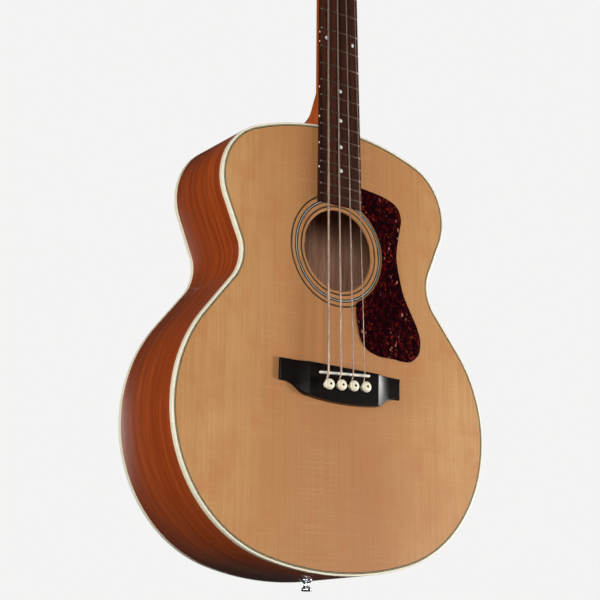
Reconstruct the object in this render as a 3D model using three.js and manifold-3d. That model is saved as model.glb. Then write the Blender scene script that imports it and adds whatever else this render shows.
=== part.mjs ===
// Acoustic bass guitar: a jumbo flat-top body, a long fretted neck, and four open worm-gear tuning machines.
// Lengths are in millimetres. x runs to the treble side, y from the front into the body, z up the neck.
// While it is drawn, z = 0 is the saddle's line and y = 0 the soundboard's face. The last lines move the
// whole instrument so that the origin lies where a wall hanger's fork carries the headstock.
import * as THREE from 'three';
import { mergeVertices } from 'three/addons/utils/BufferGeometryUtils.js';
import Module from 'manifold-3d';

const wasm = await Module();
wasm.setup();

// Scale, frets and strings
const scaleLength = 781;
const fretsPerOctave = 12;
const fretCount = 23;
const jointFret = 17;
const stringDiameters = [2.54, 2.03, 1.65, 1.14];
const stringSpacingAtSaddle = 16.98;
const stringSpacingAtNut = 10.35;
const stringOffset = 1;
const stringHeightAtSaddle = 13.3;
const stringHeightAtNut = 6.2;
const stringSides = 6;
const windingTurns = 3;
const windingSteps = 10;
const windingGap = 0.55;
const windingLift = 3.2;
const ballRadius = 2;
const ballLength = 4.8;
const ballDrop = 9;

// Clearances: glued faces, pieces that only lie in a seat, and how far a cut runs past what it cuts
const glueGap = 0.12;
const seatGap = 0.3;
const overrun = 1;

// Body outline, from the tail to the shoulder, as arcs that meet in line
const bodyLength = 514.5;
const tailRadius = 354;
const lowerBoutHalf = 213;
const lowerBoutRadius = 162;
const waistHalf = 131.3;
const waistPlaceShare = 0.6686;
const waistLowerRadius = 49;
const waistUpperRadius = 38;
const upperBoutHalf = 158;
const upperBoutRadius = 69;
const shoulderRadius = 311;
const arcSteps = { tail: 3, lower: 9, waistLower: 3, waistUpper: 3, upper: 6, shoulder: 3 };

// Body shell
const depthAtTail = 124;
const depthAtShoulder = 100;
const rimThickness = 2.8;
const soundboardThickness = 3.2;
const backThickness = 3;
const backArch = 12;
const backRingShares = [1, 0.82, 0.45];
const bindingWidth = 2.2;
const bindingHeight = 6;
const purflingWidth = 1.8;
const purflingDepth = 1.5;
const liningWidth = 6;
const liningHeight = 15;
const rimSeam = 0.2;

// Soundhole, below the fingerboard's end, and the three rings of its rosette
const soundholeDrop = 53.6;
const soundholeRadius = 48;
const rosetteMargin = 11;
const rosetteStep = 6.8;
const rosetteWidth = 3.6;
const rosetteLineWidth = 1.8;
const rosetteDepth = 1.2;
const ringSegments = 32;

// Pickguard: its box, from above the bridge to beside the fingerboard, and its edge as shares of that box
const pickguardLeft = 30.6;
const pickguardLift = 19.6;
const pickguardRise = 28.2;
const pickguardWidth = 88;
const pickguardThickness = 1;
const pickguardRingMargin = 1.6;
const pickguardEdgeShares = [
  [0, 1], [0.29, 0.985], [0.49, 0.965], [0.63, 0.93], [0.695, 0.865], [0.67, 0.79], [0.625, 0.69],
  [0.61, 0.61], [0.65, 0.51], [0.72, 0.4], [0.84, 0.3], [0.95, 0.21], [1, 0.13], [0.96, 0.055],
  [0.84, 0.008], [0.7, 0], [0.54, 0.006], [0.32, 0.008], [0.14, 0.03], [0.035, 0.07], [-0.03, 0.13],
  [-0.065, 0.21], [-0.07, 0.31],
];

// Bridge, saddle and pins
const bridgeHalf = 83.2;
const bridgeOffset = 1.8;
const bridgeTurn = THREE.MathUtils.degToRad(1.5);
const bridgeTopEdge = 6.4;
const bridgeWingEdge = -18.4;
const bridgeBelly = -34.3;
const bridgeStep = 66;
const bridgeBellyHalf = 50;
const bridgeBellyShare = 0.75;
const bridgeHeight = 9.5;
const bridgeWingHeight = 3.8;
const bridgeRampInner = 47;
const bridgeRampOuter = 56;
const bridgeEase = 1.6;
const saddleLength = 71.5;
const saddleThickness = 3;
const saddleDepth = 6;
const saddleOffset = -0.6;
const saddleCentre = -1.4;
const saddleSlant = 0.056;
const saddleEndShares = [-1, -0.6, 0, 0.6, 1];
const pinRowCentre = -15.2;
const pinTopRadius = 3.6;
const pinTipRadius = 2.8;
const pinHeadRadius = 6.2;
const pinNeckHeight = 3.2;
const pinHeadHeight = 6;
const pinLength = 22;
const pinEdgeShare = 0.3;
const pinDomeShare = 0.8;
const pinSides = 10;

// Bracing
const braceWidth = 8;
const braceHeight = 17;
const braceEndHeight = 3;
const braceScallopShare = 0.13;
const braceRunOn = 15;
const braceCrossingShare = 0.619;
const braceFootShares = [0.836, 0.4234];
const braceHeadShare = 0.75;
const toneBarWidth = 7;
const toneBarHeight = 13;
const toneBarShares = { upper: [[0.45, 0.145], [-0.488, 0.675]], lower: [[0.188, 0.54], [-0.31, 0.83]] };
const transverseWidth = 12;
const transverseGap = 12.5;
const bridgePlateThickness = 3;
const bridgePlateTop = 4;
const bridgePlateBottom = -34;
const bridgePlateFillShares = [0.86, 0.72];
const neckBlockHalf = 40;
const neckBlockLength = 58;
const tailBlockHalf = 45;
const tailBlockLength = 22;

// Fingerboard and frets
const boardWidthAtNut = 46.5;
const boardWidthAtJoint = 58.6;
const boardThickness = 4.6;
const boardRadius = 400;
const boardEdgeShares = [-1, -0.4, 0.4, 1];
const boardOverhang = 9.1;
const fretWidth = 2.6;
const fretCrownWidth = 1.2;
const fretHeight = 1;

// Neck, heel and nut. The neck leans back a little from where it meets the body.
const neckAngle = THREE.MathUtils.degToRad(0.68);
const nutThickness = 5;
const nutRise = 1.2;
const neckDepthAtNut = 16.5;
const neckDepthAtHeel = 19.5;
const neckSides = 8;
const neckRowShares = [0, 0.35, 0.7, 1];
const neckRoundShare = 1;
const neckSquareShare = 0.35;
const heelDepth = 90;
const heelCapHeight = 17;
const heelFlare = 30;
const heelFlarePower = 8;
const heelCapHalf = 14;
const heelSidePower = 0.6;
const heelFullnessShare = 0.75;
const heelStartDepth = 13;
const heelRowShares = [0, 0.04, 0.09, 0.16, 0.27, 0.45, 0.7, 1];
const heelCapThickness = 3;
const tenonLength = 18;
const tenonHalf = 9;
const tenonSpread = 3;
const tenonDepth = 80;

// Headstock
const headTilt = THREE.MathUtils.degToRad(12);
const headLength = 166;
const headThickness = 15;
const veneerThickness = 2;
const headShoulderHalf = 37;
const headShoulderHeight = 34;
const headMiddleHalf = 34.5;
const headTopHalf = 40;
const headCornerRadius = 8;
const headCrown = 7;
const hangerRise = 12;

// Truss rod, nut and cover
const rodWidth = 6;
const rodDepth = 8.6;
const rodMargin = 13.5;
const rodNutRadius = 3.6;
const rodNutLength = 10;
const rodNutDepth = 5.2;
const rodPocketHalf = 6.5;
const rodPocketLength = 34;
const rodPocketDepth = 10.5;
const coverLowHalf = 14;
const coverTopHalf = 8;
const coverLength = 46;
const coverStart = 4;
const coverThickness = 1.6;
const coverCorner = 4;

// Tuning machines: places on the headstock, then the worm and gear, then plate, post and key
const postX = 24;
const postLow = 55;
const postStep = 62;
const gearTeeth = 20;
const gearRadius = 9;
const gearAddendum = 0.75;
const gearDedendum = 0.95;
const gearThickness = 6;
const gearTipShare = 0.2;
const gearRootShare = 0.46;
const wormRadius = 3.4;
const wormAddendum = 0.75;
const wormDedendum = 0.9;
const wormTurns = 3;
const wormSteps = 8;
const wormCrestShare = 0.22;
const wormRootShare = 0.52;
const meshGap = 0.15;
const plateThickness = 1.8;
const plateInner = 13;
const plateOuter = 15;
const plateTail = 13;
const plateCorner = 4;
const earThickness = 3;
const earHalf = 4;
const earPlace = 7.6;
const keyShaftRadius = 2.2;
const keyEndCap = 1.5;
const keyShaftLength = 24;
const keyButtonLength = 21;
const keyButtonWidth = 23;
const keyButtonThickness = 7;
const keyButtonSegments = 8;
const bearingGap = 0.25;
const postRadius = 5;
const postWaistRadius = 4.3;
const postShoulderRadius = 6.4;
const postRise = 20;
const postWaistStart = 2.4;
const postWaistEnd = 15.6;
const postTopEdge = 0.8;
const postHoleRadius = 1.6;
const gearScrewRadius = 3.2;
const gearScrewHeight = 1.6;
const bushingRadius = 6.6;
const bushingFlangeRadius = 8.8;
const bushingFlangeHeight = 1.6;
const bushingDepth = 8;
const roundSides = 12;
const shaftSides = 8;

// End pin and heel button: one turned shape, in two places
const buttonCollar = 7;
const buttonCollarHeight = 2.2;
const buttonWaist = 3.5;
const buttonLength = 13;
const buttonFlange = 6.4;
const buttonFlangeHeight = 2.6;
const buttonShank = 2.8;
const buttonShankLength = 15;
const endPinDepth = 61;

const finishes = {
  spruce: { color: 0xd6a266, roughness: 0.4, metalness: 0 },
  mahogany: { color: 0x7f3219, roughness: 0.3, metalness: 0 },
  innerWood: { color: 0xb48a5e, roughness: 0.8, metalness: 0 },
  rosewood: { color: 0x3d2219, roughness: 0.55, metalness: 0 },
  ebony: { color: 0x14110f, roughness: 0.5, metalness: 0 },
  ivoroid: { color: 0xefe6c8, roughness: 0.35, metalness: 0 },
  blackLine: { color: 0x24221b, roughness: 0.5, metalness: 0 },
  tortoise: { color: 0x4f120f, roughness: 0.2, metalness: 0 },
  bone: { color: 0xf1ead8, roughness: 0.4, metalness: 0 },
  bronze: { color: 0xb98263, roughness: 0.35, metalness: 1 },
  chrome: { color: 0xd2d4d6, roughness: 0.12, metalness: 1 },
  steel: { color: 0x8d8f92, roughness: 0.45, metalness: 1 },
};

// Places that follow from the sizes above
const fretPlace = (fret) => scaleLength * 2 ** (-fret / fretsPerOctave);
const shoulderHeight = fretPlace(jointFret);
const tailHeight = shoulderHeight - bodyLength;
const waistHeight = tailHeight + bodyLength * waistPlaceShare;
const boardEnd = fretPlace(fretCount) - boardOverhang;
const soundholeHeight = boardEnd - soundholeDrop;
const pickguardBottom = bridgeTopEdge + pickguardLift;
const pickguardHeight = boardEnd + pickguardRise - pickguardBottom;
const rosetteRadius = soundholeRadius + rosetteMargin;
const rosetteRings = {
  inner: { radius: rosetteRadius - rosetteStep, width: rosetteLineWidth },
  middle: { radius: rosetteRadius, width: rosetteWidth },
  outer: { radius: rosetteRadius + rosetteStep, width: rosetteLineWidth },
};
const nutBack = scaleLength + nutThickness;
const stringCount = stringDiameters.length;
const middleString = (stringCount - 1) / 2;
const wormPitch = (2 * Math.PI * gearRadius) / gearTeeth;
const wormOuter = wormRadius + wormAddendum;
const wormRoot = wormRadius - wormDedendum;
const gearOuter = gearRadius + gearAddendum;
const gearRoot = gearRadius - gearDedendum;
const wormRise = gearRadius + wormRadius + meshGap;
const bodyDepth = (z) => depthAtTail + ((depthAtShoulder - depthAtTail) * (z - tailHeight)) / bodyLength;
const boardSlope = (boardWidthAtJoint - boardWidthAtNut) / (scaleLength - shoulderHeight);
const boardHalf = (z) => (boardWidthAtNut + boardSlope * (scaleLength - z)) / 2;
const boardDrop = (x) => boardRadius - Math.sqrt(boardRadius ** 2 - x ** 2);
const boardBase = (z) => Math.max(0, shoulderHeight - z) * Math.tan(neckAngle) - glueGap;
const stringX = (i) => stringOffset + (i - middleString) * stringSpacingAtSaddle;
const nutSlotX = (i) => (i - middleString) * stringSpacingAtNut;
const saddleLine = (x) => saddleCentre + saddleSlant * x;
const pinLine = (x) => pinRowCentre + saddleSlant * x;

// Makes a closed mesh from points and triangles, and turns its faces outwards.
function closedGeometry(points, triangles) {
  let volume = 0;
  for (const [a, b, c] of triangles) {
    volume += points[a].dot(new THREE.Vector3().crossVectors(points[b], points[c]));
  }
  const order = volume < 0 ? triangles.map(([a, b, c]) => [a, c, b]) : triangles;
  const geometry = new THREE.BufferGeometry().setFromPoints(points);
  geometry.setIndex(order.flat());
  return geometry;
}

// Skins rows of points, each row one closed section of the same count. An open loft gets flat ends.
function loft(rows, closed = false) {
  const count = rows[0].length;
  const triangles = [];
  const spans = closed ? rows.length : rows.length - 1;
  for (let row = 0; row < spans; row += 1) {
    const next = ((row + 1) % rows.length) * count;
    for (let i = 0; i < count; i += 1) {
      const j = (i + 1) % count;
      triangles.push([row * count + i, row * count + j, next + j]);
      triangles.push([row * count + i, next + j, next + i]);
    }
  }
  const last = (rows.length - 1) * count;
  for (let i = 1; !closed && i < count - 1; i += 1) {
    triangles.push([0, i + 1, i]);
    triangles.push([last, last + i, last + i + 1]);
  }
  return closedGeometry(rows.flat(), triangles);
}

function toSolid(geometry) {
  const bare = geometry.clone();
  bare.deleteAttribute('normal');
  bare.deleteAttribute('uv');
  const merged = mergeVertices(bare);
  const vertProperties = new Float32Array(merged.attributes.position.array);
  const triVerts = new Uint32Array(merged.index.array);
  return new wasm.Manifold(new wasm.Mesh({ numProp: 3, vertProperties, triVerts }));
}

function toGeometry(solid) {
  const mesh = solid.getMesh();
  const geometry = new THREE.BufferGeometry();
  geometry.setAttribute('position', new THREE.BufferAttribute(new Float32Array(mesh.vertProperties), 3));
  geometry.setIndex(new THREE.BufferAttribute(new Uint32Array(mesh.triVerts), 1));
  return geometry;
}

function join(first, ...others) {
  return toGeometry(others.reduce((sum, other) => sum.add(toSolid(other)), toSolid(first)));
}

function cut(first, ...tools) {
  return toGeometry(tools.reduce((rest, tool) => rest.subtract(toSolid(tool)), toSolid(first)));
}

function common(first, other) {
  return toGeometry(toSolid(first).intersect(toSolid(other)));
}

// A flat plate drawn in x and z, from depth front to depth front + thickness.
function plate(shape, front, thickness, curveSegments = roundSides / 4) {
  const geometry = new THREE.ExtrudeGeometry(shape, { depth: thickness, bevelEnabled: false, curveSegments });
  return geometry.rotateX(Math.PI / 2).translate(0, front + thickness, 0);
}

// A box from its corner nearest the bass, front and tail to the opposite one.
function boxBetween(low, high) {
  const size = high.map((value, i) => value - low[i]);
  const middle = high.map((value, i) => (value + low[i]) / 2);
  return new THREE.BoxGeometry(...size).translate(...middle);
}

// A cylinder along y, from depth front to depth back.
function rod(radius, x, front, back, z, sides = roundSides) {
  return new THREE.CylinderGeometry(radius, radius, back - front, sides).translate(x, (front + back) / 2, z);
}

// Turns a profile of radius and y about y. The profile may start at either end.
function turned(profile, sides = roundSides) {
  const points = profile.map(([radius, y]) => new THREE.Vector2(radius, y));
  const area = points.reduce((sum, a, i) => {
    const b = points[(i + 1) % points.length];
    return sum + a.x * b.y - b.x * a.y;
  }, 0);
  return new THREE.LatheGeometry(area > 0 ? points : points.reverse(), sides);
}

const shapeOf = (points) => new THREE.Shape(points.map(([x, z]) => new THREE.Vector2(x, z)));

function circleShape(radius, z, holeRadius = 0) {
  const shape = new THREE.Shape().absarc(0, z, radius, 0, 2 * Math.PI);
  if (holeRadius > 0) {
    shape.holes.push(new THREE.Path().absarc(0, z, holeRadius, 0, 2 * Math.PI));
  }
  return shape;
}

// The body's own frame, the neck's frame that leans back from the joint, and the headstock's that leans on it
const root = new THREE.Group();
const neckFrame = new THREE.Group();
neckFrame.rotation.x = -neckAngle;
neckFrame.position.y = -shoulderHeight * Math.sin(neckAngle);
neckFrame.position.z = shoulderHeight * (1 - Math.cos(neckAngle));
neckFrame.updateMatrix();
root.add(neckFrame);
const head = new THREE.Group();
head.rotation.x = -headTilt;
head.position.z = nutBack;
head.updateMatrix();
neckFrame.add(head);
const leanBack = (geometry) => geometry.applyMatrix4(neckFrame.matrix);

function addPiece(name, geometry, finish, parent = root) {
  const material = new THREE.MeshStandardMaterial(finishes[finish]);
  const mesh = new THREE.Mesh(geometry, material);
  mesh.name = name;
  parent.add(mesh);
  return mesh;
}

// The treble half of the body's outline, moved in by inset, from the tail to the shoulder. Each waist arc is no
// larger than its bout leaves room for.
function halfOutline(inset) {
  const lowerX = lowerBoutHalf - lowerBoutRadius;
  const upperX = upperBoutHalf - upperBoutRadius;
  const tailZ = tailHeight + tailRadius;
  const shoulderZ = shoulderHeight - shoulderRadius;
  const lowerZ = tailZ - Math.sqrt((tailRadius - lowerBoutRadius) ** 2 - lowerX ** 2);
  const upperZ = shoulderZ + Math.sqrt((shoulderRadius - upperBoutRadius) ** 2 - upperX ** 2);
  const waistRoom = (boutX, boutZ, boutRadius) => {
    const across = waistHalf - boutX;
    const along = waistHeight - boutZ;
    return (across ** 2 + along ** 2 - boutRadius ** 2) / (2 * (boutRadius - across));
  };
  const lowRadius = Math.min(waistLowerRadius, waistRoom(lowerX, lowerZ, lowerBoutRadius));
  const highRadius = Math.min(waistUpperRadius, waistRoom(upperX, upperZ, upperBoutRadius));
  const leave = (boutX, along, boutRadius, waistRadius) => {
    const across = waistHalf + waistRadius - boutX;
    const reach = Math.min(1, (boutRadius + waistRadius) / Math.hypot(across, along));
    return Math.atan2(along, across) - Math.acos(reach);
  };
  const lowLeave = leave(lowerX, waistHeight - lowerZ, lowerBoutRadius, lowRadius);
  const highLeave = leave(upperX, upperZ - waistHeight, upperBoutRadius, highRadius);
  const tailTurn = Math.atan2(lowerZ - tailZ, lowerX);
  const shoulderTurn = Math.atan2(upperZ - shoulderZ, upperX);
  const lowX = waistHalf + lowRadius;
  const highX = waistHalf + highRadius;
  const arcs = [
    [0, tailZ, tailRadius - inset, -Math.PI / 2, tailTurn, arcSteps.tail, 0],
    [lowerX, lowerZ, lowerBoutRadius - inset, tailTurn, lowLeave, arcSteps.lower, 1],
    [lowX, waistHeight, lowRadius + inset, lowLeave + Math.PI, Math.PI, arcSteps.waistLower, 0],
    [highX, waistHeight, highRadius + inset, Math.PI, Math.PI - highLeave, arcSteps.waistUpper, 1],
    [upperX, upperZ, upperBoutRadius - inset, -highLeave, shoulderTurn, arcSteps.upper, 0],
    [0, shoulderZ, shoulderRadius - inset, shoulderTurn, Math.PI / 2, arcSteps.shoulder, 1],
  ];
  const points = [];
  for (const [x, z, radius, from, to, steps, skip] of arcs) {
    for (let step = skip; step <= steps; step += 1) {
      const angle = from + ((to - from) * step) / steps;
      points.push([x + radius * Math.cos(angle), z + radius * Math.sin(angle)]);
    }
  }
  return points;
}

const mirrored = (points) => points.map(([x, z]) => [-x, z]);

// The whole outline once round, with no point twice.
function fullOutline(inset) {
  const treble = halfOutline(inset);
  const bass = mirrored(treble).reverse().slice(1, -1);
  return [...treble, ...bass];
}

// Carries a section round the whole rim, or along its treble (1) or bass (-1) half. Each corner of the section
// is an inset and a depth, which may follow z.
function rimStrip(corners, half = 0) {
  const lines = corners.map(([inset]) => halfOutline(inset));
  const rowAt = (station, sign) =>
    corners.map(([, depth], corner) => {
      const [x, z] = lines[corner][station];
      return new THREE.Vector3(sign * x, depth(z), z);
    });
  const stations = lines[0].map((_, station) => station);
  if (half !== 0) {
    return loft(stations.map((station) => rowAt(station, half)));
  }
  const treble = stations.map((station) => rowAt(station, 1));
  const bass = stations.map((station) => rowAt(station, -1));
  return loft([...treble, ...bass.reverse().slice(1, -1)], true);
}

const rectangleCorners = (outer, inner, front, back) => [
  [outer, front],
  [inner, front],
  [inner, back],
  [outer, back],
];

const tenonWide = tenonHalf + tenonSpread;
const notchHalf = tenonWide + seatGap;
const boardInset = bindingWidth + glueGap;
const purflingInner = boardInset + purflingWidth;
const liningOuter = rimThickness + glueGap;
const backInside = (z) => bodyDepth(z) - backThickness - glueGap;
const liningFront = soundboardThickness + glueGap;
const barInset = liningOuter + liningWidth + glueGap;

function pinHoles(front, back) {
  return stringDiameters.flatMap((diameter, i) => {
    const x = stringX(i);
    const z = pinLine(x);
    const slotHalf = diameter / 2 + seatGap;
    const slotEnd = z + pinTopRadius + seatGap + diameter + seatGap;
    return [
      rod(pinTopRadius + seatGap, x, front, back, z, pinSides),
      boxBetween([x - slotHalf, front, z], [x + slotHalf, back, slotEnd]),
    ];
  });
}

function makeSoundboard() {
  const outline = shapeOf(fullOutline(boardInset));
  outline.holes.push(new THREE.Path().absarc(0, soundholeHeight, soundholeRadius, 0, 2 * Math.PI));
  const blank = plate(outline, 0, soundboardThickness, ringSegments / 2);
  const bedOuter = bindingWidth - overrun;
  const bedInner = purflingInner + glueGap;
  const purflingBed = rimStrip(
    rectangleCorners(bedOuter, bedInner, () => -overrun, () => purflingDepth + glueGap),
  );
  const ringBeds = Object.values(rosetteRings).map(({ radius, width }) => {
    const half = width / 2 + glueGap;
    const shape = circleShape(radius + half, soundholeHeight, radius - half);
    return plate(shape, -overrun, rosetteDepth + glueGap + overrun, ringSegments / 2);
  });
  const neckNotch = boxBetween(
    [-notchHalf, -overrun, shoulderHeight - tenonLength - seatGap],
    [notchHalf, soundboardThickness + overrun, shoulderHeight + overrun],
  );
  const holes = pinHoles(-overrun, soundboardThickness + overrun);
  return cut(blank, purflingBed, ...ringBeds, neckNotch, ...holes);
}

// The back is dished: rings of the outline drawn in towards one point rise to the height of the arch.
function makeBack() {
  const outline = fullOutline(boardInset);
  const centre = [0, (shoulderHeight + tailHeight) / 2];
  const points = [];
  const triangles = [];
  const count = outline.length;
  const addSkin = (offset) => {
    for (const share of backRingShares) {
      for (const [x, z] of outline) {
        const ringX = centre[0] + (x - centre[0]) * share;
        const ringZ = centre[1] + (z - centre[1]) * share;
        const depth = bodyDepth(ringZ) + backArch * (1 - share ** 2) + offset;
        points.push(new THREE.Vector3(ringX, depth, ringZ));
      }
    }
    points.push(new THREE.Vector3(centre[0], bodyDepth(centre[1]) + backArch + offset, centre[1]));
  };
  addSkin(0);
  const skin = points.length;
  addSkin(-backThickness);
  const peak = skin - 1;
  for (let i = 0; i < count; i += 1) {
    const j = (i + 1) % count;
    for (let ring = 0; ring < backRingShares.length - 1; ring += 1) {
      const outer = ring * count;
      const inner = outer + count;
      const [a, b, c, d] = [outer + i, outer + j, inner + j, inner + i];
      triangles.push([a, b, c], [a, c, d]);
      triangles.push([skin + a, skin + c, skin + b], [skin + a, skin + d, skin + c]);
    }
    const inner = (backRingShares.length - 1) * count;
    triangles.push([inner + i, inner + j, peak]);
    triangles.push([skin + inner + j, skin + inner + i, skin + peak]);
    triangles.push([i, skin + i, skin + j], [i, skin + j, j]);
  }
  return closedGeometry(points, triangles);
}

// Room across the centre line at one end of the body, as far along as reach.
function endGap(half, z, reach = purflingInner + 2 * overrun) {
  return boxBetween([-half, -overrun, z - reach], [half, depthAtTail + overrun, z + reach]);
}

// The hole for the end pin's shank, from one height to another.
function shankHole(low, high) {
  const radius = buttonShank + seatGap;
  const hole = new THREE.CylinderGeometry(radius, radius, high - low, roundSides);
  return hole.rotateX(Math.PI / 2).translate(0, endPinDepth, (low + high) / 2);
}

function buildShell() {
  const sideBack = (z) => bodyDepth(z) - bindingHeight - glueGap;
  const sideSection = rectangleCorners(0, rimThickness, () => bindingHeight + glueGap, sideBack);
  const pinHole = shankHole(tailHeight - overrun, tailHeight + liningOuter + overrun);
  const seam = endGap(rimSeam, tailHeight);
  const neckGap = endGap(notchHalf, shoulderHeight);
  const halves = { bass: -1, treble: 1 };
  for (const [side, sign] of Object.entries(halves)) {
    addPiece(`side_${side}`, cut(rimStrip(sideSection, sign), pinHole, seam, neckGap), 'mahogany');
  }
  addPiece('soundboard', makeSoundboard(), 'spruce');
  addPiece('back', makeBack(), 'mahogany');
  const frontBinding = rectangleCorners(0, bindingWidth, () => 0, () => bindingHeight);
  addPiece('top_binding', cut(rimStrip(frontBinding), neckGap), 'ivoroid');
  const purfling = rectangleCorners(boardInset, purflingInner, () => 0, () => purflingDepth);
  addPiece('top_purfling', cut(rimStrip(purfling), neckGap), 'blackLine');
  const backBinding = rectangleCorners(0, bindingWidth, (z) => bodyDepth(z) - bindingHeight, bodyDepth);
  addPiece('back_binding', rimStrip(backBinding), 'ivoroid');
  const liningInner = liningOuter + liningWidth;
  const liningBack = () => liningFront + liningHeight;
  const topLining = rectangleCorners(liningOuter, liningInner, () => liningFront, liningBack);
  const backLiningFront = (z) => backInside(z) - liningHeight;
  const backLining = rectangleCorners(liningOuter, liningInner, backLiningFront, backInside);
  const blockGaps = [
    endGap(tailBlockHalf + seatGap, tailHeight, tailBlockLength),
    endGap(neckBlockHalf + seatGap, shoulderHeight, neckBlockLength),
  ];
  for (const [side, sign] of Object.entries(halves)) {
    addPiece(`top_lining_${side}`, cut(rimStrip(topLining, sign), ...blockGaps), 'innerWood');
    addPiece(`back_lining_${side}`, cut(rimStrip(backLining, sign), ...blockGaps), 'innerWood');
  }
}

function buildRosette() {
  for (const [name, { radius, width }] of Object.entries(rosetteRings)) {
    const shape = circleShape(radius + width / 2, soundholeHeight, radius - width / 2);
    addPiece(`rosette_${name}`, plate(shape, 0, rosetteDepth, ringSegments / 2), 'blackLine');
  }
}

// A block inside the rim, from the soundboard to the back, between two heights.
function endBlock(half, low, high) {
  const corners = [[-half, low], [half, low], [half, high], [-half, high]];
  const rows = [() => liningFront, backInside].map((depth) =>
    corners.map(([x, z]) => new THREE.Vector3(x, depth(z), z)),
  );
  const inside = plate(shapeOf(fullOutline(liningOuter)), 0, depthAtTail);
  return common(loft(rows), inside);
}

function dovetail(gap, front, back) {
  const base = shoulderHeight + overrun;
  const tip = shoulderHeight - tenonLength - gap;
  const points = [
    [-tenonHalf - gap, base],
    [tenonHalf + gap, base],
    [tenonWide + gap, tip],
    [-tenonWide - gap, tip],
  ];
  return plate(shapeOf(points), front, back - front);
}

function buildBlocks() {
  const neckBlock = endBlock(neckBlockHalf, shoulderHeight - neckBlockLength, shoulderHeight);
  const mortise = dovetail(seatGap, -overrun, tenonDepth + seatGap);
  addPiece('neck_block', cut(neckBlock, mortise), 'innerWood');
  const tailBlock = endBlock(tailBlockHalf, tailHeight, tailHeight + tailBlockLength);
  const pinHole = shankHole(tailHeight - overrun, tailHeight + buttonShankLength + seatGap);
  addPiece('tail_block', cut(tailBlock, pinHole), 'innerWood');
}

// A bar under the soundboard from one point to another, scalloped down at both ends.
function braceBar(start, end, width, height) {
  const along = new THREE.Vector3(end[0] - start[0], 0, end[1] - start[1]);
  const length = along.length();
  const taper = length * braceScallopShare;
  const profile = shapeOf([
    [0, 0],
    [length, 0],
    [length, braceEndHeight],
    [length - taper, height],
    [taper, height],
    [0, braceEndHeight],
  ]);
  const geometry = new THREE.ExtrudeGeometry(profile, { depth: width, bevelEnabled: false });
  geometry.translate(0, 0, -width / 2);
  const down = new THREE.Vector3(0, 1, 0);
  along.normalize();
  const frame = new THREE.Matrix4().makeBasis(along, down, new THREE.Vector3().crossVectors(along, down));
  frame.setPosition(start[0], liningFront, start[1]);
  return geometry.applyMatrix4(frame);
}

// Half the body's width inside its linings at height z.
function insideHalf(z) {
  const line = halfOutline(barInset);
  const above = Math.max(1, line.findIndex(([, height]) => height > z));
  const [[x0, z0], [x1, z1]] = [line[above - 1], line[above]];
  return x0 + ((x1 - x0) * (z - z0)) / (z1 - z0);
}

// The two long bars cross between the bridge and the soundhole and are halved into each other there. All bars
// end at the linings.
function buildBraces() {
  const crossing = bridgeTopEdge + (soundholeHeight - soundholeRadius - bridgeTopEdge) * braceCrossingShare;
  const transversePlace = shoulderHeight - neckBlockLength - transverseGap - transverseWidth / 2;
  const inside = plate(shapeOf(fullOutline(barInset)), 0, depthAtTail);
  const [footShareX, footShareZ] = braceFootShares;
  const footX = lowerBoutHalf * footShareX;
  const slope = (crossing - tailHeight * footShareZ) / footX;
  const reachX = footX + braceRunOn;
  const headZ = crossing + (transversePlace - transverseWidth / 2 - crossing) * braceHeadShare;
  const barEnds = (sign) => [
    [sign * reachX, crossing - slope * reachX],
    [(-sign * (headZ - crossing)) / slope, headZ],
  ];
  const lap = liningFront + braceHeight / 2;
  const crossTool = (sign, front, back) => {
    const tool = new THREE.BoxGeometry(braceWidth + 2 * seatGap, back - front, braceWidth * 4);
    tool.rotateY(sign * Math.atan2(1, slope));
    return tool.translate(0, (front + back) / 2, crossing);
  };
  const addBar = (name, bar) => addPiece(name, common(bar, inside), 'innerWood');
  const bassBar = braceBar(...barEnds(-1), braceWidth, braceHeight);
  const trebleBar = braceBar(...barEnds(1), braceWidth, braceHeight);
  addBar('x_brace_bass', cut(bassBar, crossTool(-1, lap - seatGap / 2, lap + braceHeight)));
  addBar('x_brace_treble', cut(trebleBar, crossTool(1, lap - braceHeight, lap + seatGap / 2)));
  const toneBottom = tailHeight + tailBlockLength;
  for (const [name, ends] of Object.entries(toneBarShares)) {
    const [start, end] = ends.map(([across, down]) => [
      lowerBoutHalf * across,
      bridgePlateBottom + (toneBottom - bridgePlateBottom) * down,
    ]);
    addBar(`tone_bar_${name}`, braceBar(start, end, toneBarWidth, toneBarHeight));
  }
  const half = insideHalf(transversePlace);
  const transverse = [[-half, transversePlace], [half, transversePlace]];
  addBar('upper_transverse_brace', braceBar(...transverse, transverseWidth, braceHeight));
  const [topShare, bottomShare] = bridgePlateFillShares;
  const topHalf = ((crossing - bridgePlateTop) / slope) * topShare;
  const bottomHalf = ((crossing - bridgePlateBottom) / slope) * bottomShare;
  const plateShape = shapeOf([
    [-bottomHalf, bridgePlateBottom],
    [bottomHalf, bridgePlateBottom],
    [topHalf, bridgePlateTop],
    [-topHalf, bridgePlateTop],
  ]);
  const blank = plate(plateShape, liningFront, bridgePlateThickness);
  const holes = pinHoles(liningFront - overrun, liningFront + bridgePlateThickness + overrun);
  addPiece('bridge_plate', cut(blank, ...holes), 'rosewood');
}

function buildPickguard() {
  const edge = pickguardEdgeShares.map(([across, up]) => {
    const x = pickguardLeft + across * pickguardWidth;
    return new THREE.Vector2(x, pickguardBottom + up * pickguardHeight);
  });
  const smooth = new THREE.SplineCurve(edge).getPoints(edge.length + edge.length / 2);
  const shape = new THREE.Shape([...smooth, new THREE.Vector2(pickguardLeft, soundholeHeight)]);
  const holeRadius = rosetteRadius + rosetteWidth / 2 + pickguardRingMargin;
  const blank = plate(shape, -glueGap - pickguardThickness, pickguardThickness);
  const clear = plate(circleShape(holeRadius, soundholeHeight), -overrun * 3, overrun * 6, ringSegments / 2);
  addPiece('pickguard', cut(blank, clear), 'tortoise');
}

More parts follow.
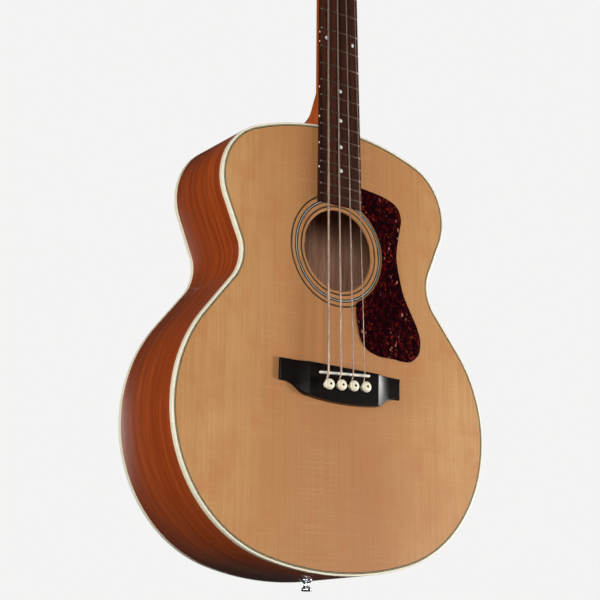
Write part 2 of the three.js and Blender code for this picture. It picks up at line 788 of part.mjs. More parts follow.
function buildBridge() {
  const plan = new THREE.Shape();
  plan.moveTo(-bridgeHalf, bridgeTopEdge);
  plan.lineTo(-bridgeHalf, bridgeWingEdge);
  plan.lineTo(-bridgeStep, bridgeWingEdge);
  const stepMiddle = (bridgeStep + bridgeBellyHalf) / 2;
  const bellyCorner = bridgeWingEdge + (bridgeBelly - bridgeWingEdge) * bridgeBellyShare;
  plan.bezierCurveTo(-stepMiddle, bridgeWingEdge, -stepMiddle, bellyCorner, -bridgeBellyHalf, bellyCorner);
  plan.quadraticCurveTo(-bridgeBellyHalf / 2, bridgeBelly, 0, bridgeBelly);
  plan.quadraticCurveTo(bridgeBellyHalf / 2, bridgeBelly, bridgeBellyHalf, bellyCorner);
  plan.bezierCurveTo(stepMiddle, bellyCorner, stepMiddle, bridgeWingEdge, bridgeStep, bridgeWingEdge);
  plan.lineTo(bridgeHalf, bridgeWingEdge);
  plan.lineTo(bridgeHalf, bridgeTopEdge);
  const blank = plate(plan, -glueGap - bridgeHeight, bridgeHeight, 6);
  const base = 0;
  const wingTop = -glueGap - bridgeWingHeight;
  const crown = -glueGap - bridgeHeight;
  const long = bridgeHalf + overrun;
  const front = new THREE.Shape([
    new THREE.Vector2(-long, base),
    new THREE.Vector2(-long, wingTop),
    new THREE.Vector2(-bridgeRampOuter, wingTop),
    new THREE.Vector2(-bridgeRampInner, crown),
    new THREE.Vector2(bridgeRampInner, crown),
    new THREE.Vector2(bridgeRampOuter, wingTop),
    new THREE.Vector2(long, wingTop),
    new THREE.Vector2(long, base),
  ]);
  const span = bridgeTopEdge - bridgeBelly + 2 * overrun;
  const elevation = new THREE.ExtrudeGeometry(front, { depth: span, bevelEnabled: false });
  elevation.translate(0, 0, bridgeBelly - overrun);
  const end = new THREE.Shape([
    new THREE.Vector2(base, bridgeBelly - overrun),
    new THREE.Vector2(crown + bridgeWingHeight, bridgeBelly),
    new THREE.Vector2(crown, bridgeBelly + bridgeEase * 3),
    new THREE.Vector2(crown, bridgeTopEdge - bridgeEase),
    new THREE.Vector2(crown + bridgeEase, bridgeTopEdge),
    new THREE.Vector2(base, bridgeTopEdge + overrun),
  ]);
  const sideView = new THREE.ExtrudeGeometry(end, { depth: 2 * long, bevelEnabled: false });
  const sideFrame = new THREE.Matrix4().makeBasis(
    new THREE.Vector3(0, 1, 0),
    new THREE.Vector3(0, 0, 1),
    new THREE.Vector3(1, 0, 0),
  );
  sideView.applyMatrix4(sideFrame).translate(-long, 0, 0);
  const slotLength = saddleLength + 2 * seatGap;
  const slot = new THREE.BoxGeometry(slotLength, 2 * saddleDepth, saddleThickness + 2 * seatGap);
  slot.rotateY(-Math.atan(saddleSlant)).translate(saddleOffset, crown, saddleCentre);
  const shaped = common(common(blank, elevation), sideView).rotateY(bridgeTurn).translate(bridgeOffset, 0, 0);
  addPiece('bridge', cut(shaped, slot, ...pinHoles(crown - overrun, overrun)), 'ebony');
}

function buildSaddle() {
  const foot = -glueGap - bridgeHeight + saddleDepth - seatGap;
  const crest = -stringHeightAtSaddle;
  const half = saddleThickness / 2;
  const rows = saddleEndShares.map((share) => {
    const x = (share * saddleLength) / 2;
    const top = crest + boardDrop(x + saddleOffset);
    return [
      [foot, -half],
      [foot, half],
      [top + half, half],
      [top + half * (1 - Math.SQRT1_2), half * Math.SQRT1_2],
      [top, 0],
      [top + half * (1 - Math.SQRT1_2), -half * Math.SQRT1_2],
      [top + half, -half],
    ].map(([y, z]) => new THREE.Vector3(x, y, z));
  });
  const saddle = loft(rows).rotateY(-Math.atan(saddleSlant)).translate(saddleOffset, 0, saddleCentre);
  addPiece('saddle', saddle, 'bone');
}

function buildBridgePins() {
  const surface = -glueGap - bridgeHeight;
  const neckTop = surface - pinNeckHeight;
  const crown = neckTop - pinHeadHeight;
  const profile = [
    [0, surface + pinLength],
    [pinTipRadius, surface + pinLength - pinTipRadius / 2],
    [pinTopRadius, surface],
    [pinTopRadius, neckTop],
    [pinHeadRadius, neckTop - pinHeadHeight * pinEdgeShare],
    [pinHeadRadius * pinDomeShare, crown + pinHeadHeight * pinEdgeShare],
    [0, crown],
  ];
  for (let i = 0; i < stringCount; i += 1) {
    const x = stringX(i);
    const pin = addPiece(`bridge_pin_${i + 1}`, turned(profile, pinSides), 'ivoroid');
    pin.position.set(x, 0, pinLine(x));
  }
}

// The board and its fret wires in one piece: across each wire the surface steps up to a crown and down again.
// Over the body the board's underside follows the soundboard.
function buildFingerboard() {
  const rows = [];
  const addRow = (z, rise) => {
    const half = boardHalf(z);
    const top = boardEdgeShares.map((share) => {
      const x = share * half;
      return new THREE.Vector3(x, boardDrop(x) - boardThickness - rise, z);
    });
    rows.push([new THREE.Vector3(-half, boardBase(z), z), ...top, new THREE.Vector3(half, boardBase(z), z)]);
  };
  addRow(scaleLength - glueGap, 0);
  for (let fret = 1; fret <= fretCount; fret += 1) {
    const z = fretPlace(fret);
    addRow(z + fretWidth / 2, 0);
    addRow(z + fretCrownWidth / 2, fretHeight);
    addRow(z - fretCrownWidth / 2, fretHeight);
    addRow(z - fretWidth / 2, 0);
  }
  addRow(boardEnd, 0);
  addPiece('fingerboard', loft(rows), 'rosewood', neckFrame);
}

function buildNut() {
  const half = boardWidthAtNut / 2;
  const top = -stringHeightAtNut - nutRise;
  const outline = shapeOf([
    [-half, 0],
    [-half, top + nutRise],
    [-half / 2, top],
    [half / 2, top],
    [half, top + nutRise],
    [half, 0],
  ]);
  const blank = new THREE.ExtrudeGeometry(outline, { depth: nutThickness - glueGap, bevelEnabled: false });
  blank.translate(0, -glueGap, scaleLength);
  const slots = stringDiameters.map((diameter, i) => {
    const x = nutSlotX(i);
    const half = diameter / 2 + seatGap / 2;
    const bottom = -stringHeightAtNut + boardDrop(x);
    const low = [x - half, top - overrun, scaleLength - overrun];
    return boxBetween(low, [x + half, bottom, nutBack + overrun]);
  });
  addPiece('nut', cut(blank, ...slots), 'bone', neckFrame);
}

// One half-round neck section at height z: flat in front at depth front, round at the back.
function neckSection(z, half, front, back, squareness) {
  const row = [];
  for (let i = 0; i <= neckSides; i += 1) {
    const angle = (Math.PI * i) / neckSides;
    const across = Math.sign(Math.cos(angle)) * Math.abs(Math.cos(angle)) ** squareness;
    row.push(new THREE.Vector3(-half * across, front + (back - front) * Math.sin(angle) ** squareness, z));
  }
  return row;
}

function headOutline() {
  const half = boardWidthAtNut / 2;
  const bend = headShoulderHeight / 2;
  const top = headLength - headCrown;
  const corner = top - headCornerRadius;
  const cornerX = headTopHalf - headCornerRadius;
  const shape = new THREE.Shape();
  shape.moveTo(-half, 0);
  shape.bezierCurveTo(-half, bend, -headShoulderHalf, bend, -headShoulderHalf, headShoulderHeight);
  shape.quadraticCurveTo(-headMiddleHalf, headLength / 2, -headTopHalf, corner);
  shape.quadraticCurveTo(-headTopHalf, top, -cornerX, top);
  shape.quadraticCurveTo(0, headLength + headCrown, cornerX, top);
  shape.quadraticCurveTo(headTopHalf, top, headTopHalf, corner);
  shape.quadraticCurveTo(headMiddleHalf, headLength / 2, headShoulderHalf, headShoulderHeight);
  shape.bezierCurveTo(headShoulderHalf, bend, half, bend, half, 0);
  return shape;
}

// Tuner i counts up with the strings: the outer strings use the low posts, the inner ones the high posts.
function postPlace(i) {
  const side = i < stringCount / 2 ? -1 : 1;
  const isOuter = i === 0 || i === stringCount - 1;
  return { side, x: side * postX, z: isOuter ? postLow : postLow + postStep };
}

const tuners = stringDiameters.map((_, i) => postPlace(i));

// The heel is a stack of rounded sections, each parallel to the front. It keeps its full reach along the neck
// down to heelStartDepth, then draws in quickly at first, and slowly towards the cap.
function heelSection(depth) {
  const share = Math.max(0, depth - heelStartDepth) / (heelDepth - heelStartDepth);
  const reach = heelCapHeight + heelFlare * (1 - share) ** heelFlarePower;
  const neckHalf = boardHalf(shoulderHeight);
  const narrowing = Math.max(0, Math.cos((share * Math.PI) / 2)) ** heelSidePower;
  const half = heelCapHalf + (neckHalf - heelCapHalf) * narrowing;
  const foot = shoulderHeight + seatGap;
  const row = [];
  for (let i = 0; i <= neckSides; i += 1) {
    const angle = (Math.PI * i) / neckSides;
    const across = Math.sign(Math.cos(angle)) * Math.abs(Math.cos(angle)) ** heelFullnessShare;
    row.push(new THREE.Vector3(-half * across, depth, foot + reach * Math.sin(angle) ** heelFullnessShare));
  }
  return row;
}

function makeHeel() {
  const front = (heelCapHeight + heelFlare) * Math.tan(neckAngle) + overrun;
  const depths = heelRowShares.map((share) => heelStartDepth + share * (heelDepth - heelStartDepth));
  return loft([front, ...depths].map(heelSection));
}

// The shaft's lowest section is cut at the neck's angle, so that it meets the rim squarely.
function makeNeckShaft() {
  const joint = shoulderHeight + seatGap;
  const rows = neckRowShares.map((share) => {
    const z = joint + (nutBack - joint) * share;
    const back = neckDepthAtHeel + (neckDepthAtNut - neckDepthAtHeel) * share;
    return neckSection(z, boardHalf(z), 0, back, neckRoundShare);
  });
  for (const point of rows[0]) {
    point.z += point.y * Math.tan(neckAngle);
  }
  const half = boardWidthAtNut / 2;
  for (const share of neckRowShares.slice(1)) {
    const climb = headShoulderHeight * share;
    const front = climb * Math.tan(headTilt);
    const back = front + neckDepthAtNut + (headThickness / Math.cos(headTilt) - neckDepthAtNut) * share;
    const squareness = neckRoundShare + (neckSquareShare - neckRoundShare) * share;
    rows.push(neckSection(nutBack + climb, half, front, back, squareness));
  }
  return loft(rows);
}

const heelButtonHeight = shoulderHeight + heelCapHeight / 2;

function heelScrewHole() {
  const end = heelDepth + heelCapThickness + overrun;
  return rod(buttonShank + seatGap, 0, heelDepth - buttonShankLength, end, heelButtonHeight);
}

function buildNeck() {
  const headPlate = plate(headOutline(), 0, headThickness, 6);
  const holeRadius = bushingRadius + seatGap;
  const postHoles = tuners.map(({ x, z }) => rod(holeRadius, x, -overrun, headThickness + overrun, z));
  const drilled = cut(headPlate, ...postHoles).applyMatrix4(head.matrix);
  const tenon = dovetail(0, 0, tenonDepth);
  const channelEnd = nutBack + coverStart;
  const rodChannel = boxBetween(
    [-rodWidth / 2 - seatGap, -overrun, shoulderHeight + rodMargin - seatGap],
    [rodWidth / 2 + seatGap, rodDepth + 2 * seatGap, channelEnd],
  );
  const pocket = boxBetween(
    [-rodPocketHalf, -overrun, channelEnd - seatGap],
    [rodPocketHalf, rodPocketDepth, channelEnd + rodPocketLength],
  );
  const body = join(leanBack(makeNeckShaft()), leanBack(drilled), makeHeel(), tenon);
  addPiece('neck', cut(body, leanBack(rodChannel), leanBack(pocket), heelScrewHole()), 'mahogany');
}

function buildHeelCap() {
  const outline = heelSection(heelDepth).map(({ x, z }) => [x, z]);
  const blank = plate(shapeOf(outline), heelDepth + glueGap, heelCapThickness);
  addPiece('heel_cap', cut(blank, heelScrewHole()), 'ivoroid');
}

function buildHeadVeneer() {
  const blank = plate(headOutline(), -veneerThickness - glueGap, veneerThickness, 6);
  const front = -veneerThickness - overrun;
  const holes = tuners.map(({ x, z }) => rod(bushingRadius + seatGap, x, front, overrun, z));
  const foot = boxBetween([-headTopHalf, front, -overrun], [headTopHalf, overrun, seatGap]);
  const accessEnd = coverStart + rodPocketLength;
  const access = boxBetween([-rodPocketHalf, front, 0], [rodPocketHalf, overrun, accessEnd]);
  addPiece('headstock_veneer', cut(blank, ...holes, foot, access), 'rosewood', head);
}

function buildTrussRod() {
  const end = nutBack + coverStart;
  const start = shoulderHeight + rodMargin;
  const bar = boxBetween([-rodWidth / 2, seatGap, start], [rodWidth / 2, seatGap + rodDepth, end - seatGap]);
  addPiece('truss_rod', bar, 'steel', neckFrame);
  const hexagon = new THREE.CylinderGeometry(rodNutRadius, rodNutRadius, rodNutLength, 6);
  const socket = new THREE.CylinderGeometry(rodNutRadius / 2, rodNutRadius / 2, rodNutLength / 2, 6);
  socket.translate(0, rodNutLength / 2, 0);
  const nut = addPiece('truss_rod_nut', cut(hexagon, socket), 'steel', neckFrame);
  nut.rotation.x = Math.PI / 2;
  nut.position.set(0, rodNutDepth, end + rodNutLength / 2);
  const cover = new THREE.Shape();
  const top = coverStart + coverLength;
  cover.moveTo(-coverLowHalf, coverStart);
  cover.lineTo(coverLowHalf, coverStart);
  cover.quadraticCurveTo(coverLowHalf, coverStart + coverLength / 2, coverTopHalf, top - coverCorner);
  cover.quadraticCurveTo(0, top + coverCorner, -coverTopHalf, top - coverCorner);
  cover.quadraticCurveTo(-coverLowHalf, coverStart + coverLength / 2, -coverLowHalf, coverStart);
  const front = -veneerThickness - 2 * glueGap - coverThickness;
  addPiece('truss_rod_cover', plate(cover, front, coverThickness, 6), 'ebony', head);
}

function mirrorX(geometry, side) {
  const points = [];
  const bare = geometry.index ? geometry.toNonIndexed() : geometry;
  const { position } = bare.attributes;
  const triangles = [];
  for (let i = 0; i < position.count; i += 1) {
    points.push(new THREE.Vector3(side * position.getX(i), position.getY(i), position.getZ(i)));
    if (i % 3 === 0) {
      triangles.push([i, i + 1, i + 2]);
    }
  }
  return closedGeometry(points, triangles);
}

// In a tuner's own frame x runs outwards to the key, y backwards from the headstock's back, z up. The gear
// turns about y in front of the worm's shaft, which runs along x through both ears of the plate.
const plateBack = seatGap + plateThickness;
const gearMiddle = plateBack + seatGap + wormOuter;
const gearFront = gearMiddle - gearThickness / 2;

function makeTunerPlate() {
  const top = wormRise + earHalf + overrun;
  const outline = new THREE.Shape();
  outline.moveTo(-plateInner + plateCorner, -plateTail);
  outline.lineTo(plateOuter - plateCorner, -plateTail);
  outline.quadraticCurveTo(plateOuter, -plateTail, plateOuter, -plateTail + plateCorner);
  outline.lineTo(plateOuter, top - plateCorner);
  outline.quadraticCurveTo(plateOuter, top, plateOuter - plateCorner, top);
  outline.lineTo(-plateInner + plateCorner, top);
  outline.quadraticCurveTo(-plateInner, top, -plateInner, top - plateCorner);
  outline.lineTo(-plateInner, -plateTail + plateCorner);
  outline.quadraticCurveTo(-plateInner, -plateTail, -plateInner + plateCorner, -plateTail);
  const sheet = plate(outline, seatGap, plateThickness, 3);
  const ear = (x) =>
    boxBetween(
      [x, plateBack - plateThickness / 2, wormRise - earHalf],
      [x + earThickness, gearMiddle + earHalf, wormRise + earHalf],
    );
  const boreRadius = keyShaftRadius + bearingGap;
  const bore = new THREE.CylinderGeometry(boreRadius, boreRadius, 4 * plateOuter, roundSides);
  bore.rotateZ(Math.PI / 2).translate(0, gearMiddle, wormRise);
  const postHole = rod(postRadius + bearingGap, 0, -overrun, gearFront + overrun, 0);
  return cut(join(sheet, ear(earPlace), ear(-earPlace - earThickness)), bore, postHole);
}

// Teeth lie along the worm's lead: each point of the wheel turns a little with its depth.
function makeGearWheel() {
  const shape = new THREE.Shape();
  const step = (2 * Math.PI) / gearTeeth;
  const tip = (step * gearTipShare) / 2;
  const foot = (step * gearRootShare) / 2;
  for (let tooth = 0; tooth < gearTeeth; tooth += 1) {
    const middle = (tooth + 0.5) * step;
    const corners = [[gearRoot, -foot], [gearOuter, -tip], [gearOuter, tip], [gearRoot, foot]];
    for (const [radius, turn] of corners) {
      const angle = middle + turn;
      const move = shape.curves.length === 0 && tooth === 0 && turn === -foot ? 'moveTo' : 'lineTo';
      shape[move](radius * Math.sin(angle), radius * Math.cos(angle));
    }
  }
  shape.closePath();
  const wheel = plate(shape, gearFront, gearThickness, 1);
  const lead = wormPitch / (2 * Math.PI * wormRadius);
  const { position } = wheel.attributes;
  for (let i = 0; i < position.count; i += 1) {
    const turn = (lead * (position.getY(i) - gearMiddle)) / gearRadius;
    const x = position.getX(i);
    const z = position.getZ(i);
    position.setX(i, x * Math.cos(turn) + z * Math.sin(turn));
    position.setZ(i, z * Math.cos(turn) - x * Math.sin(turn));
  }
  return wheel;
}

function makeTunerPost() {
  const face = -veneerThickness - headThickness - glueGap;
  const back = gearFront + gearThickness + seatGap;
  const top = face - postRise;
  const profile = [
    [0, back + gearScrewHeight],
    [gearScrewRadius, back + gearScrewHeight],
    [gearScrewRadius, back],
    [postShoulderRadius, back],
    [postShoulderRadius, plateBack + seatGap],
    [postRadius, plateBack + seatGap],
    [postRadius, face - postWaistStart + (postRadius - postWaistRadius)],
    [postWaistRadius, face - postWaistStart],
    [postWaistRadius, face - postWaistEnd],
    [postRadius, face - postWaistEnd - (postRadius - postWaistRadius)],
    [postRadius, top + postTopEdge],
    [postRadius - postTopEdge, top],
    [0, top],
  ];
  const spindle = turned(profile);
  const hole = new THREE.CylinderGeometry(postHoleRadius, postHoleRadius, 4 * postRadius, 8);
  hole.rotateZ(Math.PI / 2).translate(0, face - postWaistEnd + 2 * postHoleRadius, 0);
  return cut(join(spindle, makeGearWheel()), hole);
}

// The worm's ridge is a section carried along a helix. Facing the gear, it stands whole pitches from x = 0.
function makeWormThread() {
  const rows = [];
  const foot = (wormPitch * wormRootShare) / 2;
  const crest = (wormPitch * wormCrestShare) / 2;
  const buried = wormRoot - wormDedendum / 2;
  for (let step = 0; step <= wormTurns * wormSteps; step += 1) {
    const turns = step / wormSteps - wormTurns / 2;
    const turn = 2 * Math.PI * turns;
    const x = wormPitch * turns;
    const corner = (along, radius) => new THREE.Vector3(along, radius * Math.sin(turn), -radius * Math.cos(turn));
    rows.push([
      corner(x - foot, buried),
      corner(x - crest, wormOuter),
      corner(x + crest, wormOuter),
      corner(x + foot, buried),
    ]);
  }
  return loft(rows);
}

function makeTunerKey() {
  const innerEnd = earPlace + earThickness + keyEndCap + seatGap;
  const collarEnd = earPlace + earThickness + seatGap;
  const wormHalf = earPlace - seatGap;
  const profile = [
    [0, -innerEnd],
    [wormRoot, -innerEnd],
    [wormRoot, -collarEnd],
    [keyShaftRadius, -collarEnd],
    [keyShaftRadius, -wormHalf],
    [wormRoot, -wormHalf],
    [wormRoot, wormHalf],
    [keyShaftRadius, wormHalf],
    [keyShaftRadius, collarEnd],
    [wormRoot, collarEnd],
    [wormRoot, collarEnd + keyEndCap],
    [keyShaftRadius, keyShaftLength],
    [0, keyShaftLength],
  ];
  const shaft = turned(profile, shaftSides).rotateZ(-Math.PI / 2);
  const button = new THREE.SphereGeometry(1, keyButtonSegments, keyButtonSegments / 2 + 1);
  button.rotateZ(Math.PI / 2).scale(keyButtonLength / 2, keyButtonThickness / 2, keyButtonWidth / 2);
  button.translate(keyShaftLength + keyButtonLength / 2 - overrun * 2, 0, 0);
  return join(shaft, makeWormThread(), button);
}

function buildTuners() {
  const bushingFace = -veneerThickness - glueGap;
  const bushingProfile = [
    [postRadius + bearingGap, bushingFace + bushingDepth],
    [bushingRadius, bushingFace + bushingDepth],
    [bushingRadius, bushingFace - seatGap],
    [bushingFlangeRadius, bushingFace - seatGap],
    [bushingFlangeRadius - bushingFlangeHeight / 2, bushingFace - seatGap - bushingFlangeHeight],
    [postRadius + bearingGap, bushingFace - seatGap - bushingFlangeHeight],
    [postRadius + bearingGap, bushingFace + bushingDepth],
  ];
  tuners.forEach(({ side, x, z }, i) => {
    const place = new THREE.Group();
    place.position.set(x, headThickness, z);
    head.add(place);
    addPiece(`tuner_plate_${i + 1}`, mirrorX(makeTunerPlate(), side), 'chrome', place);
    addPiece(`tuner_post_${i + 1}`, mirrorX(makeTunerPost(), side), 'chrome', place);
    const key = addPiece(`tuner_key_${i + 1}`, mirrorX(makeTunerKey(), side), 'chrome', place);
    key.position.set(0, gearMiddle, wormRise);
    const bush = addPiece(`tuner_bushing_${i + 1}`, turned(bushingProfile), 'chrome', head);
    bush.position.set(x, 0, z);
  });
}

// A path through given stations, so that the extruded wire has its steps where the route bends.
class StationPath extends THREE.Curve {
  constructor(points) {
    super();
    this.points = points;
  }

  getPoint(share, target = new THREE.Vector3()) {
    const place = share * (this.points.length - 1);
    const index = Math.min(Math.floor(place), this.points.length - 2);
    return target.lerpVectors(this.points[index], this.points[index + 1], place - index);
  }

  getSpacedPoints() {
    return this.points;
  }

  getTangentAt(share, target = new THREE.Vector3()) {
    const index = Math.round(share * (this.points.length - 1));
    const before = this.points[Math.max(index - 1, 0)];
    const after = this.points[Math.min(index + 1, this.points.length - 1)];
    return target.subVectors(after, before).normalize();
  }
}

// Each string: up from its ball end through the bridge, over saddle and nut, then round its post.
function stringRoute(i) {
  const diameter = stringDiameters[i];
  const radius = diameter / 2;
  const saddleX = stringX(i);
  const nutX = nutSlotX(i);
  const surface = -glueGap - bridgeHeight;
  const holeZ = pinLine(saddleX) + pinTopRadius + seatGap + radius;
  const crestY = -stringHeightAtSaddle + boardDrop(saddleX) - radius - seatGap / 2;
  const crestZ = saddleLine(saddleX);
  const nutY = -stringHeightAtNut + boardDrop(nutX) - radius - seatGap / 2;
  const points = [
    new THREE.Vector3(saddleX, ballDrop, holeZ),
    new THREE.Vector3(saddleX, surface, holeZ),
    new THREE.Vector3(saddleX, surface - radius * 0.9, holeZ + radius / 2),
    new THREE.Vector3(saddleX, crestY + radius / 2, crestZ - saddleThickness / 2),
    new THREE.Vector3(saddleX, crestY, crestZ),
    new THREE.Vector3(saddleX, crestY, crestZ + saddleThickness),
    new THREE.Vector3(nutX, nutY, scaleLength).applyMatrix4(neckFrame.matrix),
    new THREE.Vector3(nutX, nutY, nutBack).applyMatrix4(neckFrame.matrix),
  ];
  const { side, x, z } = tuners[i];
  const start = new THREE.Vector3(nutX, nutY, nutBack).applyMatrix4(head.matrix.clone().invert());
  const wrapRadius = postWaistRadius + seatGap + radius;
  const across = start.x - x;
  const along = start.z - z;
  const reach = Math.acos(wrapRadius / Math.hypot(across, along));
  const arrival = Math.atan2(along, across) - side * reach;
  const lowest = -veneerThickness - glueGap - windingLift - radius;
  const pitch = diameter + windingGap;
  const coil = [];
  for (let step = 0; step <= windingTurns * windingSteps; step += 1) {
    const turns = step / windingSteps;
    const angle = arrival - side * 2 * Math.PI * turns;
    const point = new THREE.Vector3(
      x + wrapRadius * Math.cos(angle),
      lowest - pitch * turns,
      z + wrapRadius * Math.sin(angle),
    );
    coil.push(point.applyMatrix4(head.matrix).applyMatrix4(neckFrame.matrix));
  }
  const ballPlace = new THREE.Vector3(saddleX, ballDrop, holeZ - radius + ballRadius);
  return { points: [...points, ...coil], coil, diameter, ballPlace };
}

function selfGap({ coil, diameter }) {
  let least = Infinity;
  for (let a = 0; a < coil.length; a += 1) {
    for (let b = a + windingSteps / 2; b < coil.length; b += 1) {
      least = Math.min(least, coil[a].distanceTo(coil[b]) - diameter);
    }
  }
  return least;
}

function buildStrings() {
  for (let i = 0; i < stringCount; i += 1) {
    const route = stringRoute(i);
    const section = new THREE.Shape();
    for (let side = 0; side < stringSides; side += 1) {
      const angle = (2 * Math.PI * side) / stringSides;
      const [x, y] = [(route.diameter / 2) * Math.cos(angle), (route.diameter / 2) * Math.sin(angle)];
      section[side === 0 ? 'moveTo' : 'lineTo'](x, y);
    }
    section.closePath();
    const wire = new THREE.ExtrudeGeometry(section, {
      steps: route.points.length - 1,
      extrudePath: new StationPath(route.points),
      bevelEnabled: false,
    });
    const ball = new THREE.CylinderGeometry(ballRadius, ballRadius, ballLength, stringSides);
    ball.rotateZ(Math.PI / 2).translate(...route.ballPlace);
    addPiece(`string_${i + 1}`, join(wire, ball), 'bronze');
    console.log(`string_${i + 1}: least gap of the winding to itself ${selfGap(route).toFixed(2)} mm`);
  }
}

function makeStrapButton() {
  const profile = [
    [0, -buttonShankLength],
    [buttonShank, -buttonShankLength],
    [buttonShank, 0],
    [buttonCollar, 0],
    [buttonCollar, buttonCollarHeight / 2],
    [buttonWaist, buttonCollarHeight + buttonWaist / 2],
    [buttonWaist, buttonLength - buttonFlangeHeight - buttonWaist / 2],
    [buttonFlange, buttonLength - buttonFlangeHeight],
    [buttonFlange, buttonLength - buttonFlangeHeight / 3],
    [buttonFlange - buttonFlangeHeight / 3, buttonLength],
    [0, buttonLength],
  ];
  return turned(profile);
}

function buildStrapButtons() {
  const endPin = addPiece('end_pin', makeStrapButton(), 'chrome');
  endPin.rotation.x = -Math.PI / 2;
  endPin.position.set(0, endPinDepth, tailHeight - seatGap);
  const button = addPiece('strap_button', makeStrapButton(), 'chrome');
  button.position.set(0, heelDepth + glueGap + heelCapThickness + seatGap, heelButtonHeight);
}

buildShell();
buildRosette();
buildBlocks();
buildBraces();
buildPickguard();
buildBridge();
buildSaddle();
buildBridgePins();
buildFingerboard();
buildNut();
buildNeck();
buildHeelCap();
buildHeadVeneer();
buildTrussRod();
buildTuners();
buildStrings();
buildStrapButtons();

const hangerPoint = new THREE.Vector3(0, neckDepthAtNut / 2, nutBack + hangerRise);
root.position.copy(hangerPoint.applyMatrix4(neckFrame.matrix)).negate();

const instrument = new THREE.Group();
instrument.add(root);

export default instrument;
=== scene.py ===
import math

import bmesh
import bpy
import numpy as np
from mathutils import Matrix, Vector


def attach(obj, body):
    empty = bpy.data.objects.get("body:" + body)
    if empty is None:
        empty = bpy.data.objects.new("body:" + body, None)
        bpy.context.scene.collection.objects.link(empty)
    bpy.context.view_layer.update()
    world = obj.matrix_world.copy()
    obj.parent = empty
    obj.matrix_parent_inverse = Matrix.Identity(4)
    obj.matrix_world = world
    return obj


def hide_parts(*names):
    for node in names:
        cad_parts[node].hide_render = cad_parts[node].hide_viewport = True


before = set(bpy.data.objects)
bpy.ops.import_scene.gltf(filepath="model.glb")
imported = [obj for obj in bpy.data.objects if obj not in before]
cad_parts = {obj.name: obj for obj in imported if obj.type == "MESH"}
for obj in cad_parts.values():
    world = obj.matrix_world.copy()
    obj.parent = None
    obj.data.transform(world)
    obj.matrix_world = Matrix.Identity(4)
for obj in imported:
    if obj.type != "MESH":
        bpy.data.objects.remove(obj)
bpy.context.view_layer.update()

# Lengths below are millimetres in the guitar's own frame: x to the treble side, y from the front into the
# body, z up the neck, with z = 0 at the saddle's line and y = 0 at the soundboard's face.
scale = {"length": 781, "jointFret": 17, "frets": 23, "neckAngle": math.radians(0.68),
         "headTilt": math.radians(12), "nut": 5, "hangerDepth": 8.25, "hangerLift": 12}
gaps = {"glue": 0.12, "seat": 0.3}
strings = {"diameters": [2.54, 2.03, 1.65, 1.14], "pitches": [0.62, 0.52, 0.44, 0.36],
           "spacingAtSaddle": 16.98, "spacingAtNut": 10.35, "offset": 1, "heightAtSaddle": 13.3,
           "heightAtNut": 6.2, "turns": 3, "gap": 0.55, "lift": 3.2, "clear": 0.15, "start": 9, "step": 8}
body = {"length": 514.5, "tailRadius": 354, "lowerHalf": 213, "lowerRadius": 162, "waistHalf": 131.3,
        "waistShare": 0.6686, "waistLower": 49, "waistUpper": 38, "upperHalf": 158, "upperRadius": 69,
        "shoulderRadius": 311, "depthAtTail": 124, "depthAtShoulder": 100, "holeDrop": 53.6, "neckGap": 12.3}
shell = {"rim": 2.8, "top": 3.2, "back": 3, "arch": 12, "binding": 2.2, "bindingHeight": 6, "purfling": 1.8,
         "purflingDepth": 1.5, "lineLift": 0.015, "round": 0.9, "corner": 0.08, "sideRound": 0.12,
         "seam": 0.1}
board = {"widthAtNut": 46.5, "widthAtJoint": 58.6, "thickness": 4.6, "radius": 400, "overhang": 9.1,
         "edge": 0.5, "endRound": 0.8, "endDrop": 0.6}


def fretPlace(fret):
    return scale["length"] * 2 ** (-fret / 12)


shoulder = fretPlace(scale["jointFret"])
joint = shoulder + gaps["seat"]
tail = shoulder - body["length"]
nutBack = scale["length"] + scale["nut"]
boardEnd = fretPlace(scale["frets"]) - board["overhang"]
holeHeight = boardEnd - body["holeDrop"]


def bodyDepth(z):
    return body["depthAtTail"] + (body["depthAtShoulder"] - body["depthAtTail"]) * (z - tail) / body["length"]


def boardHalf(z):
    slope = (board["widthAtJoint"] - board["widthAtNut"]) / (scale["length"] - shoulder)
    return (board["widthAtNut"] + slope * (scale["length"] - z)) / 2


def boardDrop(x):
    return board["radius"] - np.sqrt(board["radius"] ** 2 - x ** 2)


def stringX(i):
    return strings["offset"] + (i - 1.5) * strings["spacingAtSaddle"]


def nutX(i):
    return (i - 1.5) * strings["spacingAtNut"]


def tipped(points, angle, height):
    # turns points about the x axis so that what stands up leans back by angle, then lifts them by height
    x, y, z = np.asarray(points, float).T
    c, s = math.cos(angle), math.sin(angle)
    return np.stack([x, y * c + z * s, z * c - y * s + height], 1)


def leanBack(points):
    # from the neck's frame, which leans back from the joint, to the guitar's
    return tipped(np.asarray(points, float) - [0, 0, shoulder], scale["neckAngle"], shoulder)


def headBack(points):
    # from the headstock's frame to the guitar's
    return leanBack(tipped(points, scale["headTilt"], nutBack))


hanger = leanBack([[0, scale["hangerDepth"], nutBack + scale["hangerLift"]]])[0]


def toRow(points):
    # from the guitar's frame in millimetres to the row's frame in metres
    return (np.asarray(points, float) - hanger) / 1000


# Shapes: each helper gives points, faces and, for each point, where it lies along, across and into its wood.

def smoothStep(value, low, high):
    share = np.clip((value - low) / (high - low), 0, 1)
    return share * share * (3 - 2 * share)


def quarterRound(steps):
    # along a quarter of a circle: 1 - sin, which falls from 1 to 0, and 1 - cos, which rises from 0 to 1
    turn = np.linspace(0, math.pi / 2, steps)
    return 1 - np.sin(turn), 1 - np.cos(turn)


def wholeTurn(sides):
    return np.linspace(0, 2 * math.pi, sides, endpoint=False)


def lengthsAlong(line):
    return np.concatenate([[0], np.cumsum(np.linalg.norm(np.diff(line, axis=0), axis=1))])


def laid(outline, y):
    # an outline drawn in x and z, laid at depth y
    return np.stack([outline[..., 0], np.broadcast_to(y, outline.shape[:-1]), outline[..., 1]], -1)


